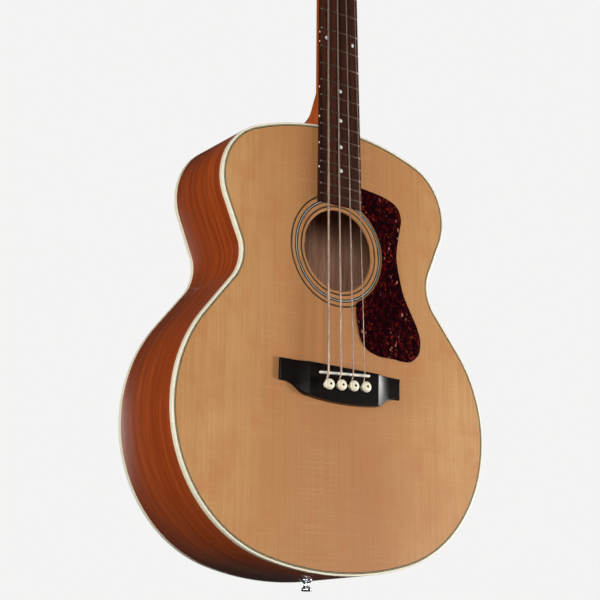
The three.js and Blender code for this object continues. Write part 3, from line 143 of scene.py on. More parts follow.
def spun(radius, y, angle):
    # places about the y axis: x = r cos a, z = r sin a
    return np.stack(np.broadcast_arrays(radius * np.cos(angle), y, radius * np.sin(angle)), -1)


def bothSides(right, last=None):
    # the treble side of an outline, then its mirror image backwards, without the points on the centre line
    return np.concatenate([right, (right * [-1, 1])[::-1][1:last]])


def softened(corners, radius, steps=5, closed=True):
    # every corner becomes a short curve: a quadratic arc from one edge to the next, radius long on each side
    corners = np.asarray(corners, float)
    radius = np.broadcast_to(np.asarray(radius, float), len(corners))
    toBefore, toAfter = np.roll(corners, 1, 0) - corners, np.roll(corners, -1, 0) - corners
    lengthBefore = np.linalg.norm(toBefore, axis=1)
    lengthAfter = np.linalg.norm(toAfter, axis=1)
    reach = np.minimum(radius, 0.48 * np.minimum(lengthBefore, lengthAfter))[:, None]
    start = corners + toBefore / lengthBefore[:, None] * reach
    end = corners + toAfter / lengthAfter[:, None] * reach
    share = np.linspace(0, 1, steps)[None, :, None]
    curve = ((1 - share) ** 2 * start[:, None] + 2 * share * (1 - share) * corners[:, None]
             + share ** 2 * end[:, None])
    if closed:
        return curve.reshape(-1, corners.shape[1])
    return np.concatenate([corners[:1], curve[1:-1].reshape(-1, corners.shape[1]), corners[-1:]])


def bezier(points, steps):
    # a cubic or quadratic curve through its control points, by the binomial formula
    points = np.asarray(points, float)
    degree = len(points) - 1
    share = np.linspace(0, 1, steps + 1)[:, None]
    return np.sum([math.comb(degree, k) * share ** k * (1 - share) ** (degree - k) * points[k]
                   for k in range(degree + 1)], 0)


def skin(rows, grain=None, closedRows=False, caps=True):
    # rows is a grid of points: each row one closed section, each column a line along the piece
    rows = np.asarray(rows, float)
    count, across = rows.shape[:2]
    number = np.arange(count * across).reshape(count, across)
    here = number if closedRows else number[:-1]
    there = np.roll(number, -1, 0) if closedRows else number[1:]
    quads = np.stack([here, np.roll(here, -1, 1), np.roll(there, -1, 1), there], -1).reshape(-1, 4)
    faces = [quads]
    if caps and not closedRows:
        faces += [number[:1, ::-1], number[-1:]]
    grain = rows if grain is None else grain
    return {"points": rows.reshape(-1, 3), "faces": faces, "grain": grain.reshape(-1, 3)}


def moved(part, change):
    return {**part, "points": change(part["points"])}


def shifted(part, x, y, z):
    return moved(part, lambda points: points + [x, y, z])


def swapped(part, order, signs=(1, 1, 1), shift=(0, 0, 0)):
    # the part's axes in another order, each with its sign, then shifted
    return moved(part, lambda points: points[:, list(order)] * signs + shift)


def lathe(profile, sides=64, soften=0.0, flute=None):
    # a profile of radius and y is turned about y; flute takes a groove out of the radius
    profile = np.asarray(profile, float)
    if soften:
        profile = softened(profile, soften, 4, closed=False)
    angle = wholeTurn(sides)[None, :]
    radius, depth = [np.repeat(profile[:, k:k + 1], sides, 1) for k in range(2)]
    if flute is not None:
        radius = radius - flute(depth, angle)
    grain = np.stack(np.broadcast_arrays(radius, depth, angle), -1)
    return skin(spun(radius, depth, angle), grain, caps=bool(profile[0, 0] > 0))


def tube(path, radius, sides):
    # a circle is carried along the path on a frame that turns no more than the path, and drawn in at both
    # ends over two more rings
    tipReach, tipSizes = np.array([[0.5], [0.35]]) * radius, np.array([0.4, 0.8])
    tangent = np.gradient(path, axis=0)
    tangent /= np.linalg.norm(tangent, axis=1)[:, None]
    side = np.cross(tangent[0], [0, 0, 1] if abs(tangent[0][2]) < 0.9 else [1, 0, 0])
    first = []
    for step in tangent:
        side = side - step * side.dot(step)
        side = side / np.linalg.norm(side)
        first.append(side)
    second = np.cross(tangent, first)
    along = lengthsAlong(path)
    held = np.clip(np.arange(-2, len(path) + 2), 0, len(path) - 1)
    first, second, along = np.array(first)[held, None], second[held, None], along[held, None]
    path = np.concatenate([path[:1] - tangent[:1] * tipReach, path,
                           path[-1:] + tangent[-1:] * tipReach[::-1]])
    radii = np.pad(np.full(len(path) - 4, 1.0), 2)
    radii[:2], radii[-2:] = tipSizes, tipSizes[::-1]
    angle = wholeTurn(sides)[None, :]
    circle = np.cos(angle)[..., None] * first + np.sin(angle)[..., None] * second
    grain = np.stack(np.broadcast_arrays(along, angle, 0.0), -1)
    return skin(path[:, None] + circle * radius * radii[:, None, None], grain)


def edgeLines(outline):
    # for a closed outline, the unit direction that points inwards at each of its points
    ahead = np.roll(outline, -1, 0) - np.roll(outline, 1, 0)
    normal = np.stack([-ahead[:, 1], ahead[:, 0]], 1)
    normal /= np.maximum(np.linalg.norm(normal, axis=1), 1e-9)[:, None]
    x, z = outline.T
    area = np.sum(x * np.roll(z, -1) - z * np.roll(x, -1))
    return normal if area > 0 else -normal


def slab(outline, front, back, frontEdge, backEdge, steps=5, inward=None):
    # a plate drawn in x and z: its edge section, two quarter rounds, is carried along the outline
    inward = edgeLines(outline) if inward is None else inward
    fall, rise = quarterRound(steps)
    inset = np.concatenate([frontEdge * fall, backEdge * rise])[:, None, None]
    depth = np.concatenate([front + frontEdge * rise, back - backEdge * fall])[:, None]
    return skin(laid(outline + inward * inset, depth))


def washer(outline, holeRadius, front, back, edge, steps=4):
    # a plate with a round hole at x = z = 0: its closed section runs from the hole to the outline and back
    around = outline / np.linalg.norm(outline, axis=1)[:, None]
    fall, rise = [edge * share for share in quarterRound(steps)]
    inset = np.concatenate([fall, fall[::-1]])[:, None, None]
    holeDepth = np.concatenate([front + rise, back - rise[::-1]])[:, None]
    rimDepth = np.concatenate([back - rise, front + rise[::-1]])[:, None]
    hole = laid(around * (holeRadius + inset), holeDepth)
    rim = laid(outline + edgeLines(outline) * inset, rimDepth)
    return skin(np.concatenate([hole, rim]), closedRows=True)


def post(radius, x, front, back, z, sides=40):
    return shifted(lathe([(0, front), (radius, front), (radius, back), (0, back)], sides), x, 0, z)


def block(low, high):
    (x0, y0, z0), (x1, y1, z1) = low, high
    outline = np.array([(x0, z0), (x1, z0), (x1, z1), (x0, z1)])
    return skin(np.array([laid(outline, y) for y in (y0, y1)]))


def closeUp(mesh):
    # joins points that lie on each other, then turns every face outwards
    work = bmesh.new()
    work.from_mesh(mesh)
    bmesh.ops.remove_doubles(work, verts=work.verts, dist=2e-6)
    bmesh.ops.dissolve_degenerate(work, edges=work.edges, dist=1e-6)
    bmesh.ops.recalc_face_normals(work, faces=work.faces)
    work.to_mesh(mesh)
    work.free()


def smoothed(mesh, sharp):
    mesh.polygons.foreach_set("use_smooth", np.ones(len(mesh.polygons), bool))
    mesh.set_sharp_from_angle(angle=math.radians(sharp))


def read(items, name, width):
    values = np.empty(len(items) * width)
    items.foreach_get(name, values)
    return values.reshape(-1, width)


def linked(name, data):
    made = bpy.data.objects.new(name, data)
    bpy.context.scene.collection.objects.link(made)
    return made


def addPiece(name, parts, finish, node, bodyName="instrument", sharp=35, inner=None):
    # one mesh of all the parts; inner is a second finish and the test that picks the faces for it, by their
    # normal and the mean of their grain
    parts = parts if isinstance(parts, list) else [parts]
    sizes = np.cumsum([0] + [len(part["points"]) for part in parts])
    points, grain = [np.concatenate([part[key] for part in parts]) for key in ("points", "grain")]
    faces = [face + start for part, start in zip(parts, sizes) for face in part["faces"]]
    corners = np.concatenate([face.ravel() for face in faces])
    counts = np.concatenate([np.full(len(face), face.shape[1]) for face in faces])
    mesh = bpy.data.meshes.new(name)
    mesh.vertices.add(len(points))
    mesh.vertices.foreach_set("co", toRow(points).ravel())
    mesh.loops.add(len(corners))
    mesh.loops.foreach_set("vertex_index", corners)
    mesh.polygons.add(len(counts))
    mesh.polygons.foreach_set("loop_start", np.concatenate([[0], np.cumsum(counts)[:-1]]))
    mesh.update(calc_edges=True)
    mesh.attributes.new("grain", "FLOAT_VECTOR", "POINT").data.foreach_set("vector", (grain / 1000).ravel())
    closeUp(mesh)
    piece = linked(name, mesh)
    smoothed(mesh, sharp)
    mesh.materials.append(finishes[finish])
    if inner is not None:
        mesh.materials.append(finishes[inner[0]])
        grain = read(mesh.attributes["grain"].data, "vector", 3) * 1000
        mean = np.array([grain[list(face.vertices)].mean(0) for face in mesh.polygons])
        chosen = inner[1](read(mesh.polygons, "normal", 3), mean)
        mesh.polygons.foreach_set("material_index", chosen.astype(np.int32))
    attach(piece, bodyName)
    if node:
        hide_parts(node)
    return piece


def cutAway(piece, tools):
    # takes the tools' solids out of the piece, one after the other
    for number, tool in enumerate(tools):
        mesh = bpy.data.meshes.new(f"tool{number}")
        mesh.from_pydata(toRow(tool["points"]).tolist(), [],
                         [row for face in tool["faces"] for row in face.tolist()])
        closeUp(mesh)
        cutter = linked(mesh.name, mesh)
        step = piece.modifiers.new("cut", "BOOLEAN")
        step.operation = "DIFFERENCE"
        step.solver = "EXACT"
        step.object = cutter
        bpy.context.view_layer.update()
        result = bpy.data.meshes.new_from_object(piece.evaluated_get(bpy.context.evaluated_depsgraph_get()))
        piece.modifiers.clear()
        piece.data = result
        bpy.data.objects.remove(cutter)
    smoothed(piece.data, 35)


# Shaders: sums and products of a wire add the Math nodes that work them out.

def tone(red, green, blue):
    # a colour as it is read from a screen, in parts of 255, to the linear colour of a shader
    values = np.array([red, green, blue]) / 255
    return (*np.where(values <= 0.04045, values / 12.92, ((values + 0.055) / 1.055) ** 2.4), 1.0)


class Wire:
    def __init__(self, tree, socket=None):
        self.tree = tree
        self.socket = socket

    def node(self, kind, settings=None, values=None, output=0):
        made = self.tree.nodes.new(kind)
        for name, value in (settings or {}).items():
            setattr(made, name, value)
        for name, value in (values or {}).items():
            if isinstance(value, Wire):
                self.tree.links.new(value.socket, made.inputs[name])
            else:
                made.inputs[name].default_value = value
        return Wire(self.tree, made.outputs[output])

    def maths(self, operation, *values):
        return self.node("ShaderNodeMath", {"operation": operation}, dict(enumerate(values)))

    def __add__(self, other):
        return self.maths("ADD", self, other)

    def __sub__(self, other):
        return self.maths("SUBTRACT", self, other)

    def __rsub__(self, other):
        return self.maths("SUBTRACT", other, self)

    def __mul__(self, other):
        return self.maths("MULTIPLY", self, other)

    __radd__, __rmul__ = __add__, __mul__

    def size(self):
        return self.maths("ABSOLUTE", self)

    def most(self, other):
        return self.maths("MAXIMUM", self, other)

    def part(self, axis):
        return self.node("ShaderNodeSeparateXYZ", values={0: self}, output=axis)

    def ramp(self, low, high):
        # 0 at low and 1 at high, with a soft rise between them
        return self.node("ShaderNodeMapRange", {"interpolation_type": "SMOOTHSTEP"},
                         {"Value": self, "From Min": low, "From Max": high})

    def vector(self, operation, other=None, output=0):
        values = {0: self} if other is None else {0: self, 1: other}
        return self.node("ShaderNodeVectorMath", {"operation": operation}, values, output)

    def stretched(self, x, y, z):
        return self.vector("MULTIPLY", (x, y, z))

    def joined(self, x, y, z):
        return self.node("ShaderNodeCombineXYZ", None, {0: x, 1: y, 2: z})

    def noise(self, size, detail=3.0, rough=0.5, distortion=0.0, output=0):
        return self.node("ShaderNodeTexNoise", None, {
            "Vector": self, "Scale": size, "Detail": detail, "Roughness": rough, "Distortion": distortion},
            output)

    def mixed(self, low, high):
        # a colour between low and high, by this factor
        return self.node("ShaderNodeMix", {"data_type": "RGBA"}, {0: self, 6: low, 7: high}, output=2)

    def shaderMix(self, low, high):
        return self.node("ShaderNodeMixShader", None, {0: self, 1: low, 2: high})

    def rayIs(self, kind):
        return self.node("ShaderNodeLightPath", output=f"Is {kind} Ray")


def material(name, build, **constant):
    # build(wire) gives the changing inputs: a dictionary of sockets and wires, and height for the bump
    made = bpy.data.materials.new(name)
    made.use_nodes = True
    tree = made.node_tree
    shader = tree.nodes["Principled BSDF"]
    for socket, value in constant.items():
        shader.inputs[socket.replace("_", " ")].default_value = value
    changing = build(Wire(tree))
    if "height" in changing:
        wire, strength, distance = changing.pop("height")
        changing["Normal"] = wire.node("ShaderNodeBump", None, {
            "Strength": strength, "Distance": distance, "Height": wire})
    for socket, wire in changing.items():
        tree.links.new(wire.socket, shader.inputs[socket])
    return made


def objectPlace(wire):
    return wire.node("ShaderNodeTexCoord", output="Object")


def grainPlace(wire):
    return wire.node("ShaderNodeAttribute", {"attribute_name": "grain"}, output="Vector")


def woodFinish(name, look, place=objectPlace, along=2):
    # long fibres, broad bands and short dark pores, all drawn out along the wood
    def build(wire):
        spot = place(wire)

        def drawn(share):
            return spot.stretched(*[share if axis == along else 1.0 for axis in range(3)])

        fibre = drawn(look["draw"]).noise(look["fibre"], 4, 0.6)
        band = drawn(look["draw"] * 0.5).noise(look["band"], 3, 0.55, 0.4)
        pore = drawn(look["poreDraw"]).noise(look["pore"], 2).ramp(look["poreLow"], look["poreLow"] - 0.09)
        colour = band.ramp(0.32, 0.68).mixed(look["dark"], look["light"])
        colour = (fibre.ramp(0.35, 0.7) * look["fibreShare"]).mixed(colour, look["fibreTone"])
        colour = (pore * look["poreShare"]).mixed(colour, look["poreTone"])
        rough = fibre * look["roughRange"] + look["rough"] + pore * 0.1
        return {"Base Color": colour, "Roughness": rough,
                "height": (fibre * 0.5 - pore, look["bump"], 0.0003)}
    return material(name, build, **look["constant"])


# along the top's centre line its colour takes painted shade, from the middle tone and its share
spruceLook = {"light": tone(207, 157, 103), "mid": tone(199, 146, 92), "dark": tone(172, 114, 66),
              "silk": tone(220, 172, 118), "patch": tone(190, 122, 76), "middleShade": tone(170, 110, 68),
              "ringWidth": 0.0015, "darkShare": 0.58, "silkShare": 0.26, "patchShare": 0.5, "middleShadeShare": 0.6,
              "rough": 0.36, "bareRough": 0.6}


def spruceFinish(name, look, bare=False):
    # bookmatched: the rings are close by the middle and widen outwards; cross silk and slow patches of tone;
    # painted shade darkens the top along its middle
    def build(wire):
        spot = objectPlace(wire)
        x, height = spot.part(0), spot.part(2)
        across = x.size() + spot.stretched(3, 0, 1.4).noise(1.6, 2) * 0.012
        flat = wire.joined(across, 0.0, height * 0.02)
        coarse = flat.noise(150.0, 2)
        ring = flat.noise(1 / look["ringWidth"] * 0.62, 3, 0.62)
        line = ring.ramp(0.42, 0.7) * 0.55 + coarse.ramp(0.4, 0.65) * 0.3
        silk = wire.joined(x * 14, 0.0, height * 420 + coarse * 2).noise(1.0, 3, 0.6).ramp(0.47, 0.75)
        where = spot.stretched(2.2, 1, 1).noise(9.0, 2).ramp(0.3, 0.62)
        broad = spot.stretched(2.4, 1, 1.6).noise(5.5, 4, 0.6, 0.3).ramp(0.35, 0.68)
        patch = spot.stretched(3, 1, 2.2).noise(12.0, 3, 0.6).ramp(0.46, 0.72)
        colour = broad.mixed(look["mid"], look["light"])
        # painted shade: the top darker towards its centre line
        colour = (across.ramp(0.18, 0.03) * look["middleShadeShare"]).mixed(colour, look["middleShade"])
        colour = (line * look["darkShare"]).mixed(colour, look["dark"])
        colour = (silk * where * look["silkShare"]).mixed(colour, look["silk"])
        colour = (patch * look["patchShare"]).mixed(colour, look["patch"])
        rough = line * 0.08 + look["bareRough" if bare else "rough"]
        return {"Base Color": colour, "Roughness": rough, "height": (line + silk * 0.3, 0.06, 0.0002)}
    coat = {} if bare else {"Coat_Weight": 0.15, "Coat_Roughness": 0.25}
    return material(name, build, Specular_IOR_Level=0.25, **coat)


mahoganyLook = {"light": tone(172, 79, 33), "dark": tone(143, 59, 23), "fibreTone": tone(106, 38, 13),
                "poreTone": tone(56, 15, 5), "draw": 0.035, "fibre": 640, "band": 110, "pore": 1700,
                "poreDraw": 0.09, "poreLow": 0.4, "fibreShare": 0.5, "poreShare": 0.5, "rough": 0.2,
                "roughRange": 0.07, "bump": 0.1,
                "constant": {"Coat_Weight": 0.14, "Coat_Roughness": 0.1, "Coat_IOR": 1.3,
                             "Specular_IOR_Level": 0.1}}
neckLook = {**mahoganyLook, "light": tone(196, 96, 46), "dark": tone(166, 72, 34),
            "fibreTone": tone(138, 54, 25)}
# the bare inside wood is paler than the lacquered outside, and is lightened further as painted light for the
# shaded inside of the body
insideLook = {**mahoganyLook, "light": tone(214, 164, 134), "dark": tone(176, 126, 100),
              "fibreTone": tone(150, 104, 82), "poreTone": tone(112, 76, 58), "rough": 0.68,
              "constant": {"Specular_IOR_Level": 0.3}}
bareLook = {**mahoganyLook, "light": tone(212, 178, 132), "dark": tone(190, 150, 104),
            "fibreTone": tone(170, 128, 84), "poreTone": tone(150, 110, 72), "poreShare": 0.2, "rough": 0.7,
            "constant": {"Specular_IOR_Level": 0.3}}
rosewoodLook = {"light": tone(84, 43, 28), "dark": tone(43, 21, 14), "fibreTone": tone(28, 13, 9),
                "poreTone": tone(13, 6, 4), "draw": 0.03, "fibre": 620, "band": 120, "pore": 1100,
                "poreDraw": 0.07, "poreLow": 0.42, "fibreShare": 0.5, "poreShare": 0.8, "rough": 0.46,
                "roughRange": 0.16, "bump": 0.2, "constant": {"Specular_IOR_Level": 0.08}}
ebonyLook = {"light": tone(26, 20, 17), "dark": tone(17, 12, 10), "fibreTone": tone(10, 7, 6),
             "poreTone": tone(46, 36, 30), "draw": 0.05, "fibre": 700, "band": 90, "pore": 1500,
             "poreDraw": 0.16, "poreLow": 0.36, "fibreShare": 0.5, "poreShare": 0.3, "rough": 0.24,
             "roughRange": 0.14, "bump": 0.1, "constant": {"Specular_IOR_Level": 0.12}}


def plasticFinish(name, look):
    # cast plastic with faint clouding and hairlines from polishing
    def build(wire):
        spot = objectPlace(wire)
        hair = spot.stretched(1, 1, 0.05).noise(1400.0, 2, 0.6)
        colour = spot.noise(look["cloud"]).ramp(0.3, 0.7).mixed(look["dark"], look["light"])
        return {"Base Color": colour, "Roughness": hair * 0.12 + look["rough"],
                "height": (hair, 0.04, 0.0001)}
    return material(name, build, **look["constant"])


ivoroidLook = {"light": tone(250, 242, 218), "dark": tone(243, 231, 200), "cloud": 160.0, "rough": 0.22,
               "constant": {"Coat_Weight": 0.3, "Coat_Roughness": 0.1, "Specular_IOR_Level": 0.3}}
boneLook = {"light": tone(250, 246, 236), "dark": tone(242, 234, 218), "cloud": 300.0, "rough": 0.3,
            "constant": {"Specular_IOR_Level": 0.5}}
# where the pin's ring and dot start and end, in metres from its axis and along it
pinLook = {**ivoroidLook, "cloud": 300.0, "head": (-0.0170, -0.0174), "dot": (0.00150, 0.00138),
           "ringOuter": (0.0052, 0.0049), "ringInner": (0.0044, 0.0047), "ringTone": tone(150, 126, 84),
           "dotTone": tone(16, 14, 13)}


def pinFinish(name, look):
    # the cream of the binding, with a dark inlaid dot in the middle of the head and a fine ring round it
    def build(wire):
        spot = grainPlace(wire)
        radius, onHead = spot.part(0), spot.part(1).ramp(*look["head"])
        cloud = objectPlace(wire).noise(look["cloud"]).ramp(0.3, 0.7)
        ring = radius.ramp(*look["ringOuter"]) * radius.ramp(*look["ringInner"]) * onHead
        colour = (ring * 0.35).mixed(cloud.mixed(look["dark"], look["light"]), look["ringTone"])
        colour = (radius.ramp(*look["dot"]) * onHead).mixed(colour, look["dotTone"])
        return {"Base Color": colour, "Roughness": cloud * 0.08 + look["rough"]}
    return material(name, build, **look["constant"])


def lineFinish(name, middle, half, ground, line):
    # laminated line: a ground with a pale line along its middle, half wide on each side of it
    def build(wire):
        away = (grainPlace(wire).part(2) - middle / 1000).size()
        speck = objectPlace(wire).noise(900.0, 2)
        mask = away.ramp((half + 0.08) / 1000, (half - 0.08) / 1000)
        return {"Base Color": mask.mixed(speck.mixed(ground, tone(44, 42, 36)), line),
                "Roughness": speck * 0.1 + 0.25}
    return material(name, build, Coat_Weight=0.5, Coat_Roughness=0.12)


tortoiseLook = {"ground": tone(22, 2, 6), "red": tone(78, 8, 12), "amber": tone(176, 58, 26),
                "pale": tone(206, 132, 114)}


def tortoiseFinish(name, look):
    # dark ground with clouds of red, flecks of amber and a few pale ones, all drawn out a little up and down
    def build(wire):
        drawn = objectPlace(wire).stretched(1.0, 1.0, 0.72)
        bent = drawn.vector("ADD", drawn.noise(120.0, 2.0, output="Color").stretched(0.009, 0.009, 0.009))
        cloud = bent.noise(180.0, 4, 0.7).ramp(0.49, 0.67)
        amber = bent.noise(290.0, 4, 0.7, 0.5).ramp(0.56, 0.67) * bent.noise(60.0, 2).ramp(0.42, 0.56)
        cell = bent.node("ShaderNodeTexVoronoi", None, {"Vector": bent, "Scale": 150.0}, output="Distance")
        pale = cell.ramp(0.26, 0.1) * bent.noise(52.0, 2).ramp(0.52, 0.62)
        colour = cloud.mixed(look["ground"], look["red"])
        colour = (amber * 0.75).mixed(colour, look["amber"])
        colour = (pale * 0.7).mixed(colour, look["pale"])
        return {"Base Color": colour, "Roughness": cloud * 0.05 + 0.16}
    return material(name, build, Coat_Weight=0.15, Coat_Roughness=0.04, Specular_IOR_Level=0.1)


def metalFinish(name, light, dark, rough, smear, bump=0.03, size=220.0):
    # plated or drawn metal: slow dull patches and fine rubbing marks
    def build(wire):
        spot = objectPlace(wire)
        patch = spot.noise(size * 0.3, 3, 0.55).ramp(0.35, 0.75)
        rub = spot.stretched(1, 0.25, 1).noise(size * 8, 3, 0.6)
        return {"Base Color": patch.mixed(light, dark),
                "Roughness": patch * smear + rub * smear * 0.6 + rough,
                "height": (rub, bump, 0.0001)}
    return material(name, build, Metallic=1.0)


def woundFinish(name, pitch):
    # a string wound with round wire: a ridge every pitch along it, with painted shade in the grooves
    def build(wire):
        turn = grainPlace(wire).part(0) * (2 * math.pi / pitch * 1000)
        ridge = turn.maths("SINE", turn) * 0.5 + 0.5
        tarnish = objectPlace(wire).noise(60.0, 3, 0.6).ramp(0.35, 0.7)
        # painted shade: the grooves between the windings darker
        colour = ((1 - ridge) * 0.3).mixed(tarnish.mixed(tone(170, 148, 133), tone(140, 119, 105)),
                                           tone(96, 66, 48))
        return {"Base Color": colour, "Roughness": tarnish * 0.12 + 0.34,
                "height": (ridge, 0.3, pitch * 0.0002)}
    return material(name, build, Metallic=1.0)


pearlStops = [(0.2, tone(214, 210, 204)), (0.42, tone(238, 232, 226)), (0.55, tone(216, 228, 222)),
              (0.68, tone(238, 220, 222)), (0.85, tone(206, 214, 226))]


def pearlFinish(name, stops):
    # mother-of-pearl: pale, with soft bands of pink, green and blue
    def build(wire):
        wave = objectPlace(wire).noise(420.0, 3, 0.6, 1.2)
        sheen = wave.node("ShaderNodeValToRGB", None, {0: wave})
        ramp = sheen.socket.node.color_ramp.elements
        while len(ramp) < len(stops):
            ramp.new(0.5)
        for stop, (place, colour) in zip(ramp, stops):
            stop.position, stop.color = place, colour
        return {"Base Color": sheen, "Roughness": wave * 0.2 + 0.12}
    return material(name, build, Coat_Weight=0.6, Coat_Roughness=0.08)


purflingMiddle = shell["binding"] + gaps["glue"] + shell["purfling"] / 2
finishes = {
    "spruce": spruceFinish("spruceTop", spruceLook),
    "spruceInside": spruceFinish("spruceInside", spruceLook, bare=True),
    "side": woodFinish("mahoganySide", mahoganyLook, grainPlace, along=0),
    "back": woodFinish("mahoganyBack", mahoganyLook),
    "neck": woodFinish("mahoganyNeck", neckLook),
    "inside": woodFinish("mahoganyInside", insideLook),
    "insideSide": woodFinish("mahoganyInsideRim", insideLook, grainPlace, along=0),
    "bare": woodFinish("bareSpruce", bareLook),
    "rosewood": woodFinish("rosewood", rosewoodLook),
    "ebony": woodFinish("ebony", ebonyLook, along=0),
    "ivoroid": plasticFinish("ivoroid", ivoroidLook),
    "bone": plasticFinish("bone", boneLook),
    "pin": pinFinish("pinCream", pinLook),
    "purfling": lineFinish("purflingLine", purflingMiddle, 0.22, tone(26, 28, 20), tone(196, 186, 142)),
    "thinRing": lineFinish("thinRing", 0, 0.13, tone(42, 36, 20), tone(104, 92, 56)),
    "wideRing": lineFinish("wideRing", 0, 0.3, tone(26, 27, 24), tone(206, 214, 210)),
    "tortoise": tortoiseFinish("tortoise", tortoiseLook),
    "chrome": metalFinish("chrome", tone(232, 234, 236), tone(214, 216, 220), 0.13, 0.08),
    "gear": metalFinish("gearMetal", tone(214, 214, 212), tone(182, 180, 174), 0.24, 0.12, 0.06),
    "steel": metalFinish("steel", tone(150, 152, 156), tone(112, 112, 114), 0.36, 0.2, 0.1),
    "fretWire": metalFinish("fretWire", tone(122, 100, 86), tone(98, 79, 67), 0.32, 0.08),
    "pearl": pearlFinish("pearl", pearlStops),
    **{f"wound.{i + 1}": woundFinish(f"wound.{i + 1}", pitch) for i, pitch in enumerate(strings["pitches"])},
}
print("finishes:", len(finishes))


# Body shell

def halfOutline(inset=0.0, spacing=2.5):
    # six arcs that meet in line, from tail to shoulder; an inset shrinks a round arc and widens a hollow one
    b = body
    lowerX, upperX = b["lowerHalf"] - b["lowerRadius"], b["upperHalf"] - b["upperRadius"]
    waistZ = tail + b["length"] * b["waistShare"]
    tailZ, shoulderZ = tail + b["tailRadius"], shoulder - b["shoulderRadius"]
    lowerZ = tailZ - math.sqrt((b["tailRadius"] - b["lowerRadius"]) ** 2 - lowerX ** 2)
    upperZ = shoulderZ + math.sqrt((b["shoulderRadius"] - b["upperRadius"]) ** 2 - upperX ** 2)

    def room(x, z, radius):
        # the widest waist radius that still meets the arc round x, z
        across, along = b["waistHalf"] - x, waistZ - z
        return (across ** 2 + along ** 2 - radius ** 2) / (2 * (radius - across))

    def leave(x, along, radius, waistRadius):
        # the angle at which the arc round x hands over to the waist's
        across = b["waistHalf"] + waistRadius - x
        return math.atan2(along, across) - math.acos(min(1,
                                                         (radius + waistRadius) / math.hypot(across, along)))

    low = min(b["waistLower"], room(lowerX, lowerZ, b["lowerRadius"]))
    high = min(b["waistUpper"], room(upperX, upperZ, b["upperRadius"]))
    lowLeave = leave(lowerX, waistZ - lowerZ, b["lowerRadius"], low)
    highLeave = leave(upperX, upperZ - waistZ, b["upperRadius"], high)
    tailTurn, shoulderTurn = math.atan2(lowerZ - tailZ, lowerX), math.atan2(upperZ - shoulderZ, upperX)
    arcs = [(0, tailZ, b["tailRadius"], -1, -math.pi / 2, tailTurn),
            (lowerX, lowerZ, b["lowerRadius"], -1, tailTurn, lowLeave),
            (b["waistHalf"] + low, waistZ, low, 1, lowLeave + math.pi, math.pi),
            (b["waistHalf"] + high, waistZ, high, 1, math.pi, math.pi - highLeave),
            (upperX, upperZ, b["upperRadius"], -1, -highLeave, shoulderTurn),
            (0, shoulderZ, b["shoulderRadius"], -1, shoulderTurn, math.pi / 2)]
    points = []
    for number, (x, z, radius, sign, start, end) in enumerate(arcs):
        steps = max(6, math.ceil(abs(end - start) * radius / spacing))
        angle = np.linspace(start, end, steps + 1)[(number > 0):]
        reach = radius + sign * inset
        points.append(np.stack([x + reach * np.cos(angle), z + reach * np.sin(angle)], 1))
    return np.concatenate(points)


outerLine = halfOutline()
alongRim = lengthsAlong(outerLine)
everyStation = np.arange(len(outerLine))
openStations = everyStation[(outerLine[:, 0] > body["neckGap"]) | (outerLine[:, 1] < 0)]


def boxSection(outer, inner, front, back, radii, steps):
    # a rounded box: each corner is an inset, an offset of depth, and how far it follows the body's depth
    fall, rise = quarterRound(steps)
    corners = [(outer, front, 1, 1), (inner, front, -1, 1), (inner, back, -1, -1), (outer, back, 1, -1)]
    points = []
    for (inset, (offset, follow), across, into), radius in zip(corners, radii):
        order = slice(None, None, across * into)
        section = [inset + across * radius * rise[order], offset + into * radius * fall[order],
                   np.full(steps, follow)]
        points.append(np.stack(section, 1))
    return np.concatenate(points)


def rimRows(section, stations, sign):
    # carries the section along the outline: x and z from the outline moved in, y from offset and depth
    lines = np.stack([halfOutline(inset)[stations] for inset in section[:, 0]], 1)
    depth = section[:, 1] + section[:, 2] * bodyDepth(lines[..., 1])
    rows = np.stack([sign * lines[..., 0], depth, lines[..., 1]], -1)
    grain = np.stack(np.broadcast_arrays(alongRim[stations][:, None], depth, section[:, 0]), -1)
    return rows, grain


def wholeRim(section, closed=False):
    # the section carried round both halves in one run, closed or with a gap at the neck
    stations = everyStation if closed else openStations
    treble, bass = [np.array(rimRows(section, stations, sign)) for sign in (1, -1)]
    runs = [treble, bass[:, -2:0:-1]] if closed else [bass[:, ::-1], treble[:, 1:]]
    return skin(*np.concatenate(runs, 1), closedRows=closed)


def buildSides():
    height, inside = shell["bindingHeight"] + gaps["glue"], shell["rim"] * 0.8
    section = boxSection(0, shell["rim"], (height, 0), (-height, 1), [shell["sideRound"]] * 4, 3)
    for name, sign in (("bass", -1), ("treble", 1)):
        rows, grain = rimRows(section, openStations, sign)
        rows[..., 0] = sign * np.maximum(np.abs(rows[..., 0]), shell["seam"])
        addPiece(f"Side.{name}", skin(rows, grain), "side", f"side_{name}",
                 inner=("insideSide", lambda normal, grain: grain[:, 2] > inside))


def buildBindings():
    height, width, inset = shell["bindingHeight"], shell["binding"], shell["binding"] + gaps["glue"]
    rounds = [shell["round"]] + [shell["corner"]] * 3
    front = boxSection(0, width, (0, 0), (height, 0), rounds, 6)
    line = boxSection(inset, inset + shell["purfling"], (-shell["lineLift"], 0), (shell["purflingDepth"], 0),
                      [shell["corner"] / 2] * 4, 2)
    back = boxSection(0, width, (-height, 1), (0, 1), rounds[::-1], 6)
    addPiece("Binding.front", wholeRim(front), "ivoroid", "top_binding")
    addPiece("Purfling", wholeRim(line), "purfling", "top_purfling")
    addPiece("Binding.back", wholeRim(back, closed=True), "ivoroid", "back_binding")


rosette = {"hole": 48, "rings": {"inner": (52.2, 1.8), "middle": (59, 3.6), "outer": (65.8, 1.8)},
           "depth": 1.2, "edge": 0.4, "backEdge": 0.3, "sides": 192, "wide": 3}


